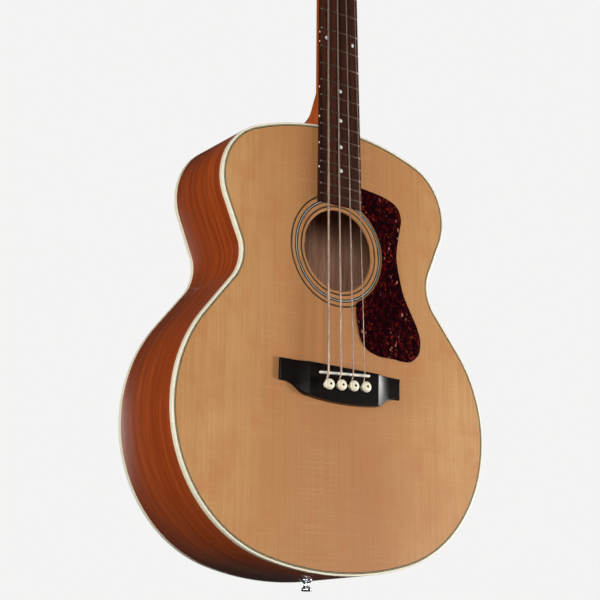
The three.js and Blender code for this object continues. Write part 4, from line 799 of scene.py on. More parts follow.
def buildSoundboard():
    # rings round the soundhole run out to the outline: close in they are circles, with beds for the rosette
    # lines, and at the edge they follow the outline, with a bed for the purfling
    glue, top = gaps["glue"], shell["top"]
    hole, edge, backEdge = [rosette[key] for key in ("hole", "edge", "backEdge")]
    floor, lineFloor = rosette["depth"] + glue, shell["purflingDepth"] + glue
    circles = [(hole, top - backEdge), (hole, edge), (hole + edge * 0.3, edge * 0.3), (hole + edge, 0)]
    for radius, width in rosette["rings"].values():
        low, high = radius - width / 2 - glue, radius + width / 2 + glue
        circles += [(low, 0), (low, floor), (high, floor), (high, 0)]
    outer = shell["binding"] + glue
    bed = outer + shell["purfling"] + glue
    turn = bothSides(halfOutline(outer), -1) - [0, holeHeight]
    turn /= np.linalg.norm(turn, axis=1)[:, None]
    grid = [laid(turn * radius + [0, holeHeight], y) for radius, y in circles]
    grid += [laid(bothSides(halfOutline(inset), -1), y)
             for inset, y in ((bed, 0), (bed, lineFloor), (outer, lineFloor), (outer, top))]
    grid.append(laid(turn * (hole + backEdge) + [0, holeHeight], top))
    addPiece("Soundboard", skin(grid, closedRows=True), "spruce", "soundboard",
             inner=("spruceInside", lambda normal, grain: normal[:, 1] > 0.6))


def buildRosette():
    angle = wholeTurn(rosette["sides"])[:, None]
    for name, (radius, width) in rosette["rings"].items():
        low, high, front, back = radius - width / 2, radius + width / 2, -shell["lineLift"], rosette["depth"]
        reach, depth = softened([(low, front), (high, front), (high, back), (low, back)], 0.05, 3).T
        rows = spun(reach, depth, angle) + [0, 0, holeHeight]
        grain = np.stack(np.broadcast_arrays(angle * radius, depth, reach - radius), -1)
        finish = "wideRing" if width > rosette["wide"] else "thinRing"
        addPiece(f"Rosette.{name}", skin(rows, grain, closedRows=True), finish, f"rosette_{name}")


dome = {"powers": 22, "rings": 30, "edgeShare": 0.995, "settle": 8}


def buildBack():
    # the outline is drawn in to one point, and the depth is that of a skin blown up within it: a harmonic
    # polynomial, fitted to the squared distance round the outline, less the squared distance
    centre = np.array([0, (shoulder + tail) / 2])
    line = bothSides(halfOutline(shell["binding"] + gaps["glue"]), -1)
    powers = np.arange(dome["powers"])

    def spots(place):
        return ((place[:, 1] - centre[1]) + 1j * place[:, 0]) / (body["length"] / 2)

    edge = spots(line)
    weights = np.linalg.lstsq(np.real(edge[:, None] ** powers), np.abs(edge) ** 2, rcond=None)[0]

    def blown(place):
        spot = spots(place)
        return np.real(spot[:, None] ** powers) @ weights - np.abs(spot) ** 2

    shares = np.concatenate([[1.0], np.linspace(dome["edgeShare"], 0, dome["rings"])])
    highest = max(blown(centre + (line - centre) * share).max() for share in shares)

    def dish(share, lift):
        place = centre + (line - centre) * share
        rise = blown(place) - blown(line) * share ** dome["settle"]
        return laid(place, bodyDepth(place[:, 1]) + shell["arch"] * rise / highest + lift)

    rows = [dish(share, 0) for share in shares[::-1]] + [dish(share, -shell["back"]) for share in shares]
    addPiece("Back", skin(rows, caps=False), "back", "back",
             inner=("inside", lambda normal, grain: normal[:, 1] < 0))


buildSides()
buildBindings()
buildSoundboard()
buildRosette()
buildBack()
print("body shell done")


# Pickguard, bridge, saddle and pins

pickguard = {"left": 30.6, "bottom": 26, "rise": 28.2, "width": 88, "thickness": 1, "clear": 62.4,
             "edge": 0.45, "backEdge": 0.1, "shares": [
                 [0, 1], [0.29, 0.985], [0.49, 0.965], [0.63, 0.93], [0.695, 0.865], [0.67, 0.79],
                 [0.625, 0.69],
                 [0.61, 0.61], [0.65, 0.51], [0.72, 0.4], [0.84, 0.3], [0.95, 0.21], [1, 0.13], [0.96, 0.055],
                 [0.84, 0.008], [0.7, 0], [0.54, 0.006], [0.32, 0.008], [0.14, 0.03], [0.035, 0.07],
                 [-0.03, 0.13], [-0.065, 0.21], [-0.07, 0.31]]}


def throughPoints(points, steps):
    # a smooth curve through every point: each span is a cubic that leaves along the line between neighbours
    padded = np.concatenate([points[:1], points, points[-1:]])
    share = np.linspace(0, 1, steps, endpoint=False)[None, :, None]
    before, start, end, after = [padded[k:len(padded) - 3 + k, None] for k in range(4)]
    leaveBy, arriveBy = (end - before) / 2, (after - start) / 2
    curve = ((2 * share ** 3 - 3 * share ** 2 + 1) * start + (share ** 3 - 2 * share ** 2 + share) * leaveBy
             + (3 * share ** 2 - 2 * share ** 3) * end + (share ** 3 - share ** 2) * arriveBy)
    return np.concatenate([curve.reshape(-1, points.shape[1]), points[-1:]])


def buildPickguard():
    # the drawn edge runs as far as the rosette, and an arc round the rosette closes it
    p = pickguard
    size, hole = [p["width"], boardEnd + p["rise"] - p["bottom"]], np.array([0, holeHeight])
    line = throughPoints(np.array(p["shares"]) * size + [p["left"], p["bottom"]], 10)
    away = np.linalg.norm(line - hole, axis=1)
    line = line[:np.where(away > p["clear"])[0].max() + 1]
    start = math.atan2(line[-1, 1] - holeHeight, line[-1, 0])
    angle = np.linspace(start, math.acos(p["left"] / p["clear"]), 60)[1:]
    outline = np.concatenate([line, hole + p["clear"] * np.stack([np.cos(angle), np.sin(angle)], 1)])
    part = slab(outline, -gaps["glue"] - p["thickness"], -gaps["glue"], p["edge"], p["backEdge"])
    addPiece("Pickguard", part, "tortoise", "pickguard")


bridge = {"half": 83.2, "offset": 1.8, "turn": math.radians(1.5), "top": 6.4, "wing": -18.4, "belly": -34.3,
          "step": 78, "bellyHalf": 45, "bellyShare": 0.8, "height": 9.5, "wingHeight": 3.8, "rampInner": 47,
          "rampOuter": 67, "scoop": 1.6, "edge": 1.5}
bridgeFace = -gaps["glue"] - bridge["height"]
# how far a cutting tool stands clear of the face, and reaches behind the soundboard's
cutMargin, cutDepth = 2, 3


def bridgeFoot(x):
    # the lower edge: straight wings, a swept step, then a shallow belly
    b = bridge
    corner = b["wing"] + (b["belly"] - b["wing"]) * b["bellyShare"]
    width = b["step"] - b["bellyHalf"]
    step = bezier([(-b["step"], b["wing"]), (-b["step"] + width * 0.5, b["wing"]),
                   (-b["step"] + width * 0.62, corner), (-b["bellyHalf"], corner)], 24)
    belly = bezier([(-b["bellyHalf"], corner), (-b["bellyHalf"] / 2, b["belly"]), (0, b["belly"])], 24)
    line = np.concatenate([[(-b["half"] - 1, b["wing"])], step, belly[1:]])
    return np.interp(-np.abs(x), line[:, 0], line[:, 1])


def bridgeHeightAt(x):
    # full height in the middle, then a scooped ramp: a power of what is left of the ramp
    b = bridge
    left = np.clip((b["rampOuter"] - np.abs(x)) / (b["rampOuter"] - b["rampInner"]), 0, 1)
    return b["wingHeight"] + (b["height"] - b["wingHeight"]) * left ** b["scoop"]


def turnedAbout(part, angle, x, z):
    # turned in its plane, from x towards z, then moved
    c, s = math.cos(angle), math.sin(angle)
    return moved(part, lambda points: points @ [[c, 0, s], [0, 1, 0], [-s, 0, c]] + [x, 0, z])


def roundedBar(x, low, high, front, back, radius, steps=6):
    # rows of a bar along x: at each x the section in z and y has its two front edges rounded; arrays follow x
    values = [np.broadcast_to(value, x.shape) for value in (x, low, high, front, radius)]
    x, low, high, front, radius = [value.astype(float)[:, None] for value in values]
    fall, rise = [radius * share for share in quarterRound(steps)]
    back = np.full_like(low, back)
    z = np.concatenate([low, low + rise, high - fall, high], 1)
    y = np.concatenate([back, front + fall, front + rise, back], 1)
    return np.stack(np.broadcast_arrays(x, y, z), -1)


def buildBridge():
    b = bridge
    flat = b["half"] - b["edge"]
    half = np.concatenate([np.linspace(flat - 1, b["rampOuter"] + 0.6, 16),
                           np.linspace(b["rampOuter"], b["rampInner"], 22),
                           np.linspace(b["rampInner"] - 0.5, 0, 60)])
    ends = b["half"] - b["edge"] * quarterRound(6)[0]
    x = np.concatenate([-ends[::-1], -half, half[::-1][1:], ends])
    past = (np.abs(x) - flat).clip(0) / b["edge"]
    tip = b["edge"] * (1 - np.sqrt(np.clip(1 - past ** 2, 0, 1)))
    height = bridgeHeightAt(x)
    rows = roundedBar(x, bridgeFoot(x) + tip * 0.3, b["top"] - tip * 0.3, tip - gaps["glue"] - height,
                      -gaps["glue"], np.minimum(b["edge"], height * 0.4))
    piece = addPiece("Bridge", turnedAbout(skin(rows), -b["turn"], b["offset"], 0), "ebony", "bridge")
    front, tools = bridgeFace - cutMargin, []
    for i, diameter in enumerate(strings["diameters"]):
        x, z, half = stringX(i), pinLine(stringX(i)), diameter / 2 + gaps["seat"]
        tools.append(post(pins["hole"], x, front, cutDepth, z))
        tools.append(block((x - half, front, z), (x + half, cutDepth, z + pins["hole"] + 2 * half)))
    blank = slab(saddleOutline(gaps["seat"]), front, bridgeFace + saddle["depth"], 0, 0, 2)
    cutAway(piece, tools + [saddlePlace(blank)])


saddle = {"length": 70, "thickness": 3, "depth": 6, "offset": 0.9, "centre": -1.4, "slant": 0.056}


def saddlePlace(part):
    return turnedAbout(part, math.atan(saddle["slant"]), saddle["offset"], saddle["centre"])


def saddleOutline(grow):
    # a long plan with half-round ends
    half, end = saddle["length"] / 2 + grow, saddle["thickness"] / 2 + grow
    turn = np.linspace(-math.pi / 2, math.pi / 2, 12)
    right = np.stack([half - end + end * np.cos(turn), end * np.sin(turn)], 1)
    return np.concatenate([right, -right])


def buildSaddle():
    # the plan's closed line rises from the foot and closes over a rounded top that follows the strings' arc
    line, half = saddleOutline(0), saddle["thickness"] / 2
    rows = [laid(line, bridgeFace + saddle["depth"] - gaps["seat"])]
    for fall, rise in zip(*quarterRound(8)):
        x = np.sign(line[:, 0]) * (np.abs(line[:, 0]) - rise * half)
        top = -strings["heightAtSaddle"] + boardDrop(x + saddle["offset"])
        rows.append(np.stack([x, top + half * fall, line[:, 1] * (1 - rise)], 1))
    addPiece("Saddle", saddlePlace(skin(rows)), "bone", "saddle")


# a pin's profile is its radius and its height above the bridge, from the foot up
pins = {"hole": 3.9, "line": -15.2, "slant": 0.056, "groove": 1.1, "grooveTurn": 0.34, 
        "grooveSpan": (0.4, -1.5, -19, -21),
        "profile": [(0, -22), (2.2, -21.8), (2.75, -20.6), (3.55, 0), (3.6, 2.6), (4.3, 3.1), (5.6, 4.2),
                    (6.1, 5.4),
                    (6.15, 6.2), (5.85, 6.7), (6, 7.1), (5.7, 7.9), (4.7, 8.7), (3, 9.08), (1.4, 9.2),
                    (0, 9.2)]}


def pinLine(x):
    return pins["line"] + pins["slant"] * x


def buildPins():
    start, full, fading, gone = [bridgeFace - height for height in pins["grooveSpan"]]

    def flute(depth, angle):
        # a groove down the shank on the side where the string lies
        away = np.abs((angle - math.pi / 2 + math.pi) % (2 * math.pi) - math.pi)
        fade = smoothStep(depth, start, full) * (1 - smoothStep(depth, fading, gone))
        return pins["groove"] * np.exp(-(away / pins["grooveTurn"]) ** 2) * fade

    for i in range(4):
        pin = lathe([(radius, bridgeFace - height) for radius, height in pins["profile"]], 56, 0.5, flute)
        name, x = f"bridge_pin_{i + 1}", stringX(i)
        addPiece(f"BridgePin.{i + 1}", shifted(pin, x, 0, pinLine(x)), "pin", name, name, sharp=50)


buildPickguard()
buildBridge()
buildSaddle()
buildPins()
print("bridge and pickguard done")


# Fingerboard, frets, dots and nut, in the neck's frame

frets = {"width": 2.2, "height": 0.9, "inset": 0.8, "bevel": 0.7, "endShare": 0.12, "sink": 0.05, "tang": 0.4,
         "tangDepth": 0.6, "across": 17, "dotRadius": 2.4, "dotDepth": 0.8, "doubleDot": 18.8, "sideDot": 1.1,
         "sideDepth": 0.6, "sideLow": 0.1, "doubleSide": 6, "dots": [3, 5, 7, 9, 15, 17, 19, 21, 12],
         "octave": 12}


def buildFingerboard():
    # rows up the board: base, rounded edge, and the playing surface on its radius
    fall, rise = quarterRound(5)
    across = np.linspace(-1, 1, 25)[1:-1]
    z = np.concatenate([[scale["length"] - gaps["glue"]], np.linspace(scale["length"] - 2, shoulder + 3, 60),
                        np.linspace(shoulder, boardEnd + board["endRound"], 20),
                        boardEnd + board["endRound"] * fall[1:]])[:, None]
    tip = np.concatenate([np.zeros(len(z) - 4), board["endDrop"] * rise[1:]])[:, None]
    half, edge = boardHalf(z), board["edge"]
    left = -half + edge * rise
    x = np.concatenate([-half, left, across * (half - edge), -left[:, ::-1], half], 1)
    drop = edge * np.concatenate([fall, np.zeros(len(across)), fall[::-1]])
    top = boardDrop(x[:, 1:-1]) - board["thickness"] + drop + tip
    base = np.maximum(0, shoulder - z) * math.tan(scale["neckAngle"]) - gaps["glue"]
    rows = np.stack(np.broadcast_arrays(x, np.concatenate([base, top, base], 1), z), -1)
    addPiece("Fingerboard", moved(skin(rows), leanBack), "rosewood", "fingerboard")


def buildFrets():
    # each wire: a half-round crown over a foot in its slot, carried across the board's arc, its ends bevelled
    f = frets
    angle, wires = np.linspace(0, math.pi, 9), []
    for fret in range(1, scale["frets"] + 1):
        z = fretPlace(fret)
        half = boardHalf(z) - f["inset"]
        x = np.concatenate([[-half], np.linspace(-half + f["bevel"], half - f["bevel"], f["across"]),
                            [half]])[:, None]
        rise = np.pad(np.ones(f["across"]), 1, constant_values=f["endShare"])[:, None] * f["height"]
        face = boardDrop(x) - board["thickness"]
        crown = face - rise * np.sin(angle) ** 0.8 + f["sink"]
        along = np.concatenate([[f["tang"]], f["width"] / 2 * np.cos(angle), [-f["tang"]]])
        y = np.concatenate([face + f["tangDepth"], crown, face + f["tangDepth"]], 1)
        wires.append(moved(skin(np.stack(np.broadcast_arrays(x, y, z + along), -1)), leanBack))
    addPiece("Frets", wires, "fretWire", "fingerboard", sharp=60)


def dotDisc(radius, depth, rim, sides):
    # a thin round plug: its profile goes from the foot over the rim to a crown
    return lathe([(0, depth), (radius, depth), *[(radius * share - less, y) for share, less, y in rim]],
                 sides)


def buildDots():
    # pearl dots let into the board, and small ones along its bass edge
    f, dots, edgeDots = frets, [], []
    disc = dotDisc(f["dotRadius"], f["dotDepth"],
                   [(1, 0, 0.02), (1, 0.12, -0.035), (0.5, 0, -0.05), (0, 0, -0.055)], 32)
    side = swapped(dotDisc(f["sideDot"], f["sideDepth"], [(1, 0, 0), (1, 0.1, -0.05), (0, 0, -0.06)], 20),
                   (1, 0, 2))
    for fret in f["dots"]:
        z = (fretPlace(fret) + fretPlace(fret - 1)) / 2
        double = fret == f["octave"]
        for x in (-f["doubleDot"], f["doubleDot"]) if double else (0,):
            dots.append(moved(shifted(disc, x, boardDrop(x) - board["thickness"], z), leanBack))
        for place in (z - f["doubleSide"], z + f["doubleSide"]) if double else (z,):
            at = shifted(side, -boardHalf(place), -board["thickness"] / 2 - f["sideLow"], place)
            edgeDots.append(moved(at, leanBack))
    addPiece("Dots", dots, "pearl", None)
    addPiece("SideDots", edgeDots, "ivoroid", None)


nut = {"crown": 1.2, "fall": 1.6, "endShape": 0.4, "endDrop": 0.5, "across": 181, "notch": 0.6, "edge": 0.55,
       "gap": 0.02}


def buildNut():
    # along x the top follows the strings, with a rounded notch under each one
    half = board["widthAtNut"] / 2
    x = np.concatenate([[-half], np.linspace(nut["endShape"] - half, half - nut["endShape"], nut["across"]),
                        [half]])
    end = np.pad(np.zeros(nut["across"]), 1, constant_values=nut["endDrop"])
    outer = np.clip((np.abs(x) - half / 2) / (half / 2), 0, 1)
    top = -strings["heightAtNut"] + nut["crown"] * (outer ** nut["fall"] - 1) + end
    for i, diameter in enumerate(strings["diameters"]):
        place = nutX(i)
        depth = -strings["heightAtNut"] + boardDrop(place) - nut["gap"]
        reach = diameter / 2 + strings["clear"]
        dip = np.sqrt(np.clip(reach ** 2 - (x - place) ** 2, 0, None))
        groove = depth - (reach - dip) * nut["notch"]
        top = np.where(np.abs(x - place) < reach, np.maximum(top, groove), top)
    rows = roundedBar(x, scale["length"] + nut["gap"], nutBack - gaps["glue"], top, -gaps["glue"],
                      nut["edge"])
    addPiece("Nut", moved(skin(rows), leanBack), "bone", "nut", sharp=40)


# Neck with its heel, and the headstock

neckShape = {"depthAtNut": 16.5, "depthAtHeel": 19.5, "heelDepth": 90, "capHeight": 17, "flare": 30,
             "power": 8, "capHalf": 14, "sidePower": 0.6, "fullness": 0.75, "start": 13, "blend": 9.0,
             "capThickness": 3, "counts": {"shaft": 70, "bend": 34, "face": 25, "heel": 29, "around": 49},
             "bendLength": 60, "faceDepth": 30, "reach": 130, "halvings": 26}
head = {"length": 166, "thickness": 15, "veneer": 2, "shoulderHalf": 37, "shoulderHeight": 34,
        "middleHalf": 34.5, "topHalf": 40, "corner": 8, "crown": 7, "postX": 24, "postLow": 55,
        "postStep": 62, "bore": 6.9, "cut": 44, "backEdge": 1.3, "frontEdge": 0.1}
# the pocket behind the nut where the rod is set, and the rod's slot, as half width, depth, start and end
pocket = {"half": 6.5, "depth": 10.5, "start": 3.7, "end": 38}
slot = {"half": 3.3, "depth": 9.2, "start": 13.2, "end": 4}
proud = 1  # how far both cuts start in front of the wood


def heelSizes(depth):
    n = neckShape
    share = np.clip((depth - n["start"]) / (n["heelDepth"] - n["start"]), 0, 1)
    reach = n["capHeight"] + n["flare"] * (1 - share) ** n["power"]
    narrowing = np.clip(np.cos(share * math.pi / 2), 0, 1) ** n["sidePower"]
    return reach, n["capHalf"] + (boardHalf(shoulder) - n["capHalf"]) * narrowing


def neckField(x, y, z):
    # below 0 inside the wood: the half-round shaft and the heel, blended where they meet at the back
    n = neckShape
    share = np.clip((z - joint) / (nutBack - joint), 0, 1)
    depth = n["depthAtHeel"] + (n["depthAtNut"] - n["depthAtHeel"]) * share
    shaft = (np.hypot(x / boardHalf(z), y / depth) - 1) * depth
    reach, half = heelSizes(y)
    power = 2 / n["fullness"]
    out = np.abs(x / half) ** power + np.abs((z - joint).clip(0) / reach) ** power
    heel = (out ** (1 / power) - 1) * np.minimum(reach, half)
    blend = 0.01 + n["blend"] * smoothStep(y, 5, 17)
    mix = np.clip(0.5 + 0.5 * (shaft - heel) / blend, 0, 1)
    return shaft * (1 - mix) + heel * mix - blend * mix * (1 - mix)


def neckRows():
    # rays fan out from a line that comes down the neck's front, turns, and runs down the rim's face; each
    # ray stops where the wood ends, found by halving
    n = neckShape
    count = n["counts"]
    down = [np.linspace(nutBack, joint + n["bendLength"] + 2, count["shaft"]),
            np.linspace(joint + n["bendLength"], joint, count["bend"])]
    inward = [np.linspace(0, n["faceDepth"], count["face"] + 1)[1:],
              np.linspace(n["faceDepth"], n["heelDepth"], count["heel"] + 1)[1:]]
    line = np.concatenate([*down, *inward])
    inFront = np.arange(len(line)) < count["shaft"] + count["bend"]
    z, y = np.where(inFront, line, joint), np.where(inFront, 0, line)
    turns = [smoothStep(np.linspace(0, 1, count[key]), 0, 1) for key in ("bend", "face")]
    bend = np.radians(np.concatenate([np.full(count["shaft"], 90), 90 - 45 * turns[0], 45 - 45 * turns[1],
                                      np.zeros(count["heel"])]))[:, None]
    turn = np.linspace(0, math.pi, count["around"])[None, :]
    direction = np.stack(np.broadcast_arrays(-np.cos(turn), np.sin(turn) * np.sin(bend),
                                             np.sin(turn) * np.cos(bend)), -1)
    start = np.stack([0 * z, y, z], 1)[:, None]
    low, high = np.zeros(direction.shape[:2]), np.full(direction.shape[:2], float(n["reach"]))
    for _ in range(n["halvings"]):
        middle = (low + high) / 2
        x, depth, along = np.moveaxis(start + direction * middle[..., None], -1, 0)
        inside = (neckField(x, depth, along) < 0) & (depth <= n["heelDepth"] + 1e-6)
        low, high = np.where(inside, middle, low), np.where(inside, high, middle)
    rows = start + direction * low[..., None]
    # the shaft leans back from the joint, and the heel stands square
    lean = (rows[..., 2] - shoulder) * math.sin(scale["neckAngle"])
    rows[..., 1] += lean * (1 - smoothStep(rows[..., 1], 25, 70))
    return rows


def headSide():
    # the treble edge, from the nut up to the corner
    h, half = head, board["widthAtNut"] / 2
    bend, corner = h["shoulderHeight"] / 2, h["length"] - h["crown"] - h["corner"]
    foot = bezier([(half, 0), (half, bend), (h["shoulderHalf"], bend),
                   (h["shoulderHalf"], h["shoulderHeight"])], 20)
    side = bezier([(h["shoulderHalf"], h["shoulderHeight"]), (h["middleHalf"], h["length"] / 2),
                   (h["topHalf"], corner)], 24)
    return np.concatenate([foot, side[1:]])


def headOutline():
    top, cornerX = head["length"] - head["crown"], head["topHalf"] - head["corner"]
    corner = bezier([(head["topHalf"], top - head["corner"]), (head["topHalf"], top), (cornerX, top)], 10)
    crown = bezier([(cornerX, top), (0, head["length"] + head["crown"]), (-cornerX, top)], 24)
    return bothSides(np.concatenate([headSide(), corner[1:], crown[1:13]]))


def headHalf(z):
    side = headSide()
    return np.interp(z, side[:, 1], side[:, 0])


def postPlaces():
    return [(side, side * head["postX"], head["postLow"] + (head["postStep"] if high else 0))
            for side, high in ((-1, False), (-1, True), (1, True), (1, False))]


def ridgeRows():
    # above the nut the half-round section widens along the headstock's outline and squares up until it is the
    # headstock's own section, and its plane tips from square to the neck to square to the headstock
    tilt, cut, edge, thick = scale["headTilt"], head["cut"], head["backEdge"], head["thickness"]
    climb = np.linspace(0, cut, 32)[1:, None]
    share, half = climb / cut, headHalf(climb)
    depth = thick + (neckShape["depthAtNut"] * math.cos(tilt) - thick) * (1 - smoothStep(share, 0, 0.8))
    fall, rise = quarterRound(7)
    up = np.linspace(0, 1, 13)[None, :-1] * (depth - edge)
    x = np.concatenate([0 * up - half, edge * rise - half, (edge - half) * np.linspace(1, 0, 7)[None, 1:]], 1)
    y = np.concatenate([up, depth - edge * fall, depth + np.zeros((1, 6))], 1)
    x, y = np.concatenate([x, -x[:, -2::-1]], 1), np.concatenate([y, y[:, -2::-1]], 1)
    square = np.arctan2(y / depth, -x / half)
    turn = np.linspace(0, math.pi, neckShape["counts"]["around"])[None, :] * (1 - share) + square * share
    morph = smoothStep(share, 0.05, 1)
    x = x * morph - half * np.cos(turn) * (1 - morph)
    y = y * morph + depth * np.sin(turn) * (1 - morph)
    rows = np.stack([x, y, climb + math.tan(tilt) * (1 - share) * y], -1)
    return headBack(rows.reshape(-1, 3)).reshape(rows.shape)[::-1]


def postHoles(front, back):
    return [moved(post(head["bore"], x, front, back, z), headBack) for _, x, z in postPlaces()]


def buildNeck():
    h, n = head, neckShape
    piece = addPiece("Neck", skin(np.concatenate([ridgeRows(), neckRows()])), "neck", "neck",
                     sharp=48)
    outline, half = headOutline(), float(headHalf(h["cut"]))
    outline = np.concatenate([[(half, h["cut"])], outline[outline[:, 1] > h["cut"] + 0.5],
                              [(-half, h["cut"])]])
    inward = edgeLines(outline)
    inward[[0, -1]] = [(-1, 0), (1, 0)]
    part = moved(slab(outline, 0, h["thickness"], h["frontEdge"], h["backEdge"], 7, inward), headBack)
    plate = addPiece("Headstock", part, "neck", "neck", sharp=50)
    cutAway(plate, postHoles(-cutDepth, h["thickness"] + cutDepth))
    hollow = block((-pocket["half"], -proud, nutBack + pocket["start"]),
                   (pocket["half"], pocket["depth"], nutBack + pocket["end"]))
    rod = block((-slot["half"], -proud, shoulder + slot["start"]),
                (slot["half"], slot["depth"], nutBack + slot["end"]))
    cutAway(piece, [moved(hollow, leanBack), moved(rod, leanBack)])
    turn, front = np.linspace(0, math.pi, 61), n["heelDepth"] + gaps["glue"]
    x = -n["capHalf"] * np.sign(np.cos(turn)) * np.abs(np.cos(turn)) ** n["fullness"]
    cap = np.stack([x, joint + n["capHeight"] * np.sin(turn) ** n["fullness"]], 1)
    addPiece("HeelCap", slab(cap, front, front + n["capThickness"], 0.1, 0.8), "ivoroid", "heel_cap")


cover = {"footHalf": 14, "topHalf": 8, "foot": 4, "bend": 27, "top": 46, "crown": 54, "thickness": 1.6,
         "screw": 1.7, "screws": ((0, 45.5), (-9.5, 8.5), (9.5, 8.5))}


def buildHeadFront():
    c, veneerBack, veneerFront = cover, -gaps["glue"], -head["veneer"] - gaps["glue"]
    outline = np.maximum(headOutline(), [-head["topHalf"], gaps["seat"]])
    veneer = addPiece("HeadVeneer", moved(slab(outline, veneerFront, veneerBack, 0.5, 0.05), headBack),
                      "rosewood", "headstock_veneer")
    opening = block((-pocket["half"], -2 * cutDepth, -cutMargin), (pocket["half"], cutMargin, pocket["end"]))
    cutAway(veneer, postHoles(-2 * cutDepth, cutMargin) + [moved(opening, headBack)])
    side = bezier([(c["footHalf"], c["foot"]), (c["footHalf"], c["bend"]), (c["topHalf"], c["top"])], 16)
    crown = bezier([(c["topHalf"], c["top"]), (0, c["crown"]), (-c["topHalf"], c["top"])], 16)
    outline = softened(bothSides(np.concatenate([side, crown[1:9]])), 0.6, 3)
    back = veneerFront - gaps["glue"]
    front = back - c["thickness"]
    addPiece("RodCover", moved(slab(outline, front, back, 0.5, 0.1), headBack), "ebony", "truss_rod_cover")
    screws = [moved(shifted(screwHead(c["screw"]), x, front, z), headBack) for x, z in c["screws"]]
    addPiece("CoverScrews", screws, "steel", None)


def screwHead(radius):
    # a low dome with a cross cut into it: the cross's depth falls off from two bands
    share = np.linspace(1, 0, 14)[:, None]
    angle = wholeTurn(64)
    x, z = np.abs(radius * share * np.cos(angle)), np.abs(radius * share * np.sin(angle))
    dome = -0.3 * radius * np.sqrt(np.clip(1 - share ** 2, 0, 1))
    arms = 1 - smoothStep(np.minimum(x, z), radius * 0.1, radius * 0.18)
    ends = 1 - smoothStep(np.maximum(x, z), radius * 0.5, radius * 0.62)
    y = dome + arms * ends * radius * 0.22
    base = spun(radius, np.full((1, 1), 0.3), angle)
    return skin(np.concatenate([base, spun(radius * share, y, angle)]))


def backScrew(radius, x, y, z):
    # the same, facing backwards
    return swapped(screwHead(radius), (0, 1, 2), (1, -1, 1), (x, y, z))


buildFingerboard()
buildFrets()
buildDots()
buildNut()
buildNeck()
buildHeadFront()
print("neck done")


# Tuning machines. In a tuner's own frame x runs out to the key, y back from the headstock, z up.

tuner = {"teeth": 20, "gear": 9.0, "add": 0.75, "ded": 0.95, "thickness": 6, "tip": 0.2, "root": 0.46,
         "toothRound": 0.2, "rootDip": 0.05, "worm": 3.4, "wormAdd": 0.75, "wormDed": 0.9, "wormRound": 0.15,
         "turns": 3, "crest": 0.22, "foot": 0.52, "gap": 0.15, "plate": 1.8, "post": 5, "waist": 4.3,
         "shoulder": 6.4, "rise": 20, "shaft": 2.2, "shaftLength": 24, "bearing": 0.25, "earInner": 7.6,
         "earOuter": 10.6, "ear": 3, "earHalf": 4, "earFoot": 0.7, "plateBox": (-13, 15, -13, 5),
         "corner": 5.6, "edge": 0.35, "screw": 1.7, "screws": ((-10, -10), (12, -10))}
wormPitch = 2 * math.pi * tuner["gear"] / tuner["teeth"]
wormOuter = tuner["worm"] + tuner["wormAdd"]
wormRoot = tuner["worm"] - tuner["wormDed"]
plateBack = gaps["seat"] + tuner["plate"]
gearMiddle = plateBack + gaps["seat"] + wormOuter
gearFront = gearMiddle - tuner["thickness"] / 2
wormRise = tuner["gear"] + tuner["worm"] + tuner["gap"]
faceAtHead = -head["veneer"] - gaps["glue"]
stringPost = {"waist": (1.7, 2.4), "waistEnd": (15.6, 16.3), "edge": 0.8, "screw": (2.4, 3.2, 1.1, 1.6)}
# the bushing's closed section: radius and height in front of the headstock's face
bushing = {"sides": 56, "section": [(5.25, -8), (6.6, -8), (6.6, 0.3), (8.8, 0.3), (8.8, 0.7), (7.6, 1.9),
                                    (6.2, 1.9), (5.25, 1.3)]}


def gearWheel():
    # the outline's radius steps between root and tip; each depth is turned a little along the worm's lead
    t = tuner
    step = 2 * math.pi / t["teeth"]
    root, outer = t["gear"] - t["ded"], t["gear"] + t["add"]
    tip, foot = step * t["tip"] / 2, step * t["root"] / 2
    shape = [(root, -foot * 1.05), (outer - t["toothRound"], -tip * 1.25), (outer, -tip * 0.8),
             (outer, tip * 0.8),
             (outer - t["toothRound"], tip * 1.25), (root, foot * 1.05), (root - t["rootDip"], step / 2)]
    radius, within = np.array(shape).T
    radius = np.tile(radius, t["teeth"])
    angle = ((np.arange(t["teeth"])[:, None] + 0.5) * step + within).ravel()
    depth, shrink = np.array([(0, 0.55), (0.05, 0.955), (0.35, 1), (1.5, 1), (3, 1), (4.5, 1), (5.65, 1),
                              (5.95, 0.955), (6, 0.55)]).T[..., None]
    lead = wormPitch / (2 * math.pi * t["worm"])
    turn = angle + lead * (depth - t["thickness"] / 2) / t["gear"]
    return skin(spun(radius * shrink, gearFront + depth, math.pi / 2 - turn))


def densified(outline, spacing):
    # more points along the straight runs of a closed outline
    closed = np.concatenate([outline, outline[:1]])
    place = lengthsAlong(closed)
    extra = np.linspace(0, place[-1], max(12, int(place[-1] / spacing)), endpoint=False)
    at = np.unique(np.concatenate([place[:-1], extra]).round(4))
    at = at[np.concatenate([[True], np.diff(at) > 0.05])]
    return np.stack([np.interp(at, place, closed[:, k]) for k in range(2)], 1)


def bearingEar(start):
    # a rounded tab round the shaft's bore, drawn in y and z and set across x
    t = tuner
    turn, foot = np.linspace(-math.pi / 2, math.pi / 2, 24), plateBack - gearMiddle - t["earFoot"]
    arc = t["earHalf"] * np.stack([np.cos(turn), np.sin(turn)], 1)
    outline = densified(np.concatenate([arc, [(foot, t["earHalf"]), (foot, -t["earHalf"])]]), 1.0)
    tab = washer(outline, t["shaft"] + t["bearing"], 0, t["ear"], 0.3)
    return swapped(tab, (1, 0, 2), shift=(start, gearMiddle, wormRise))


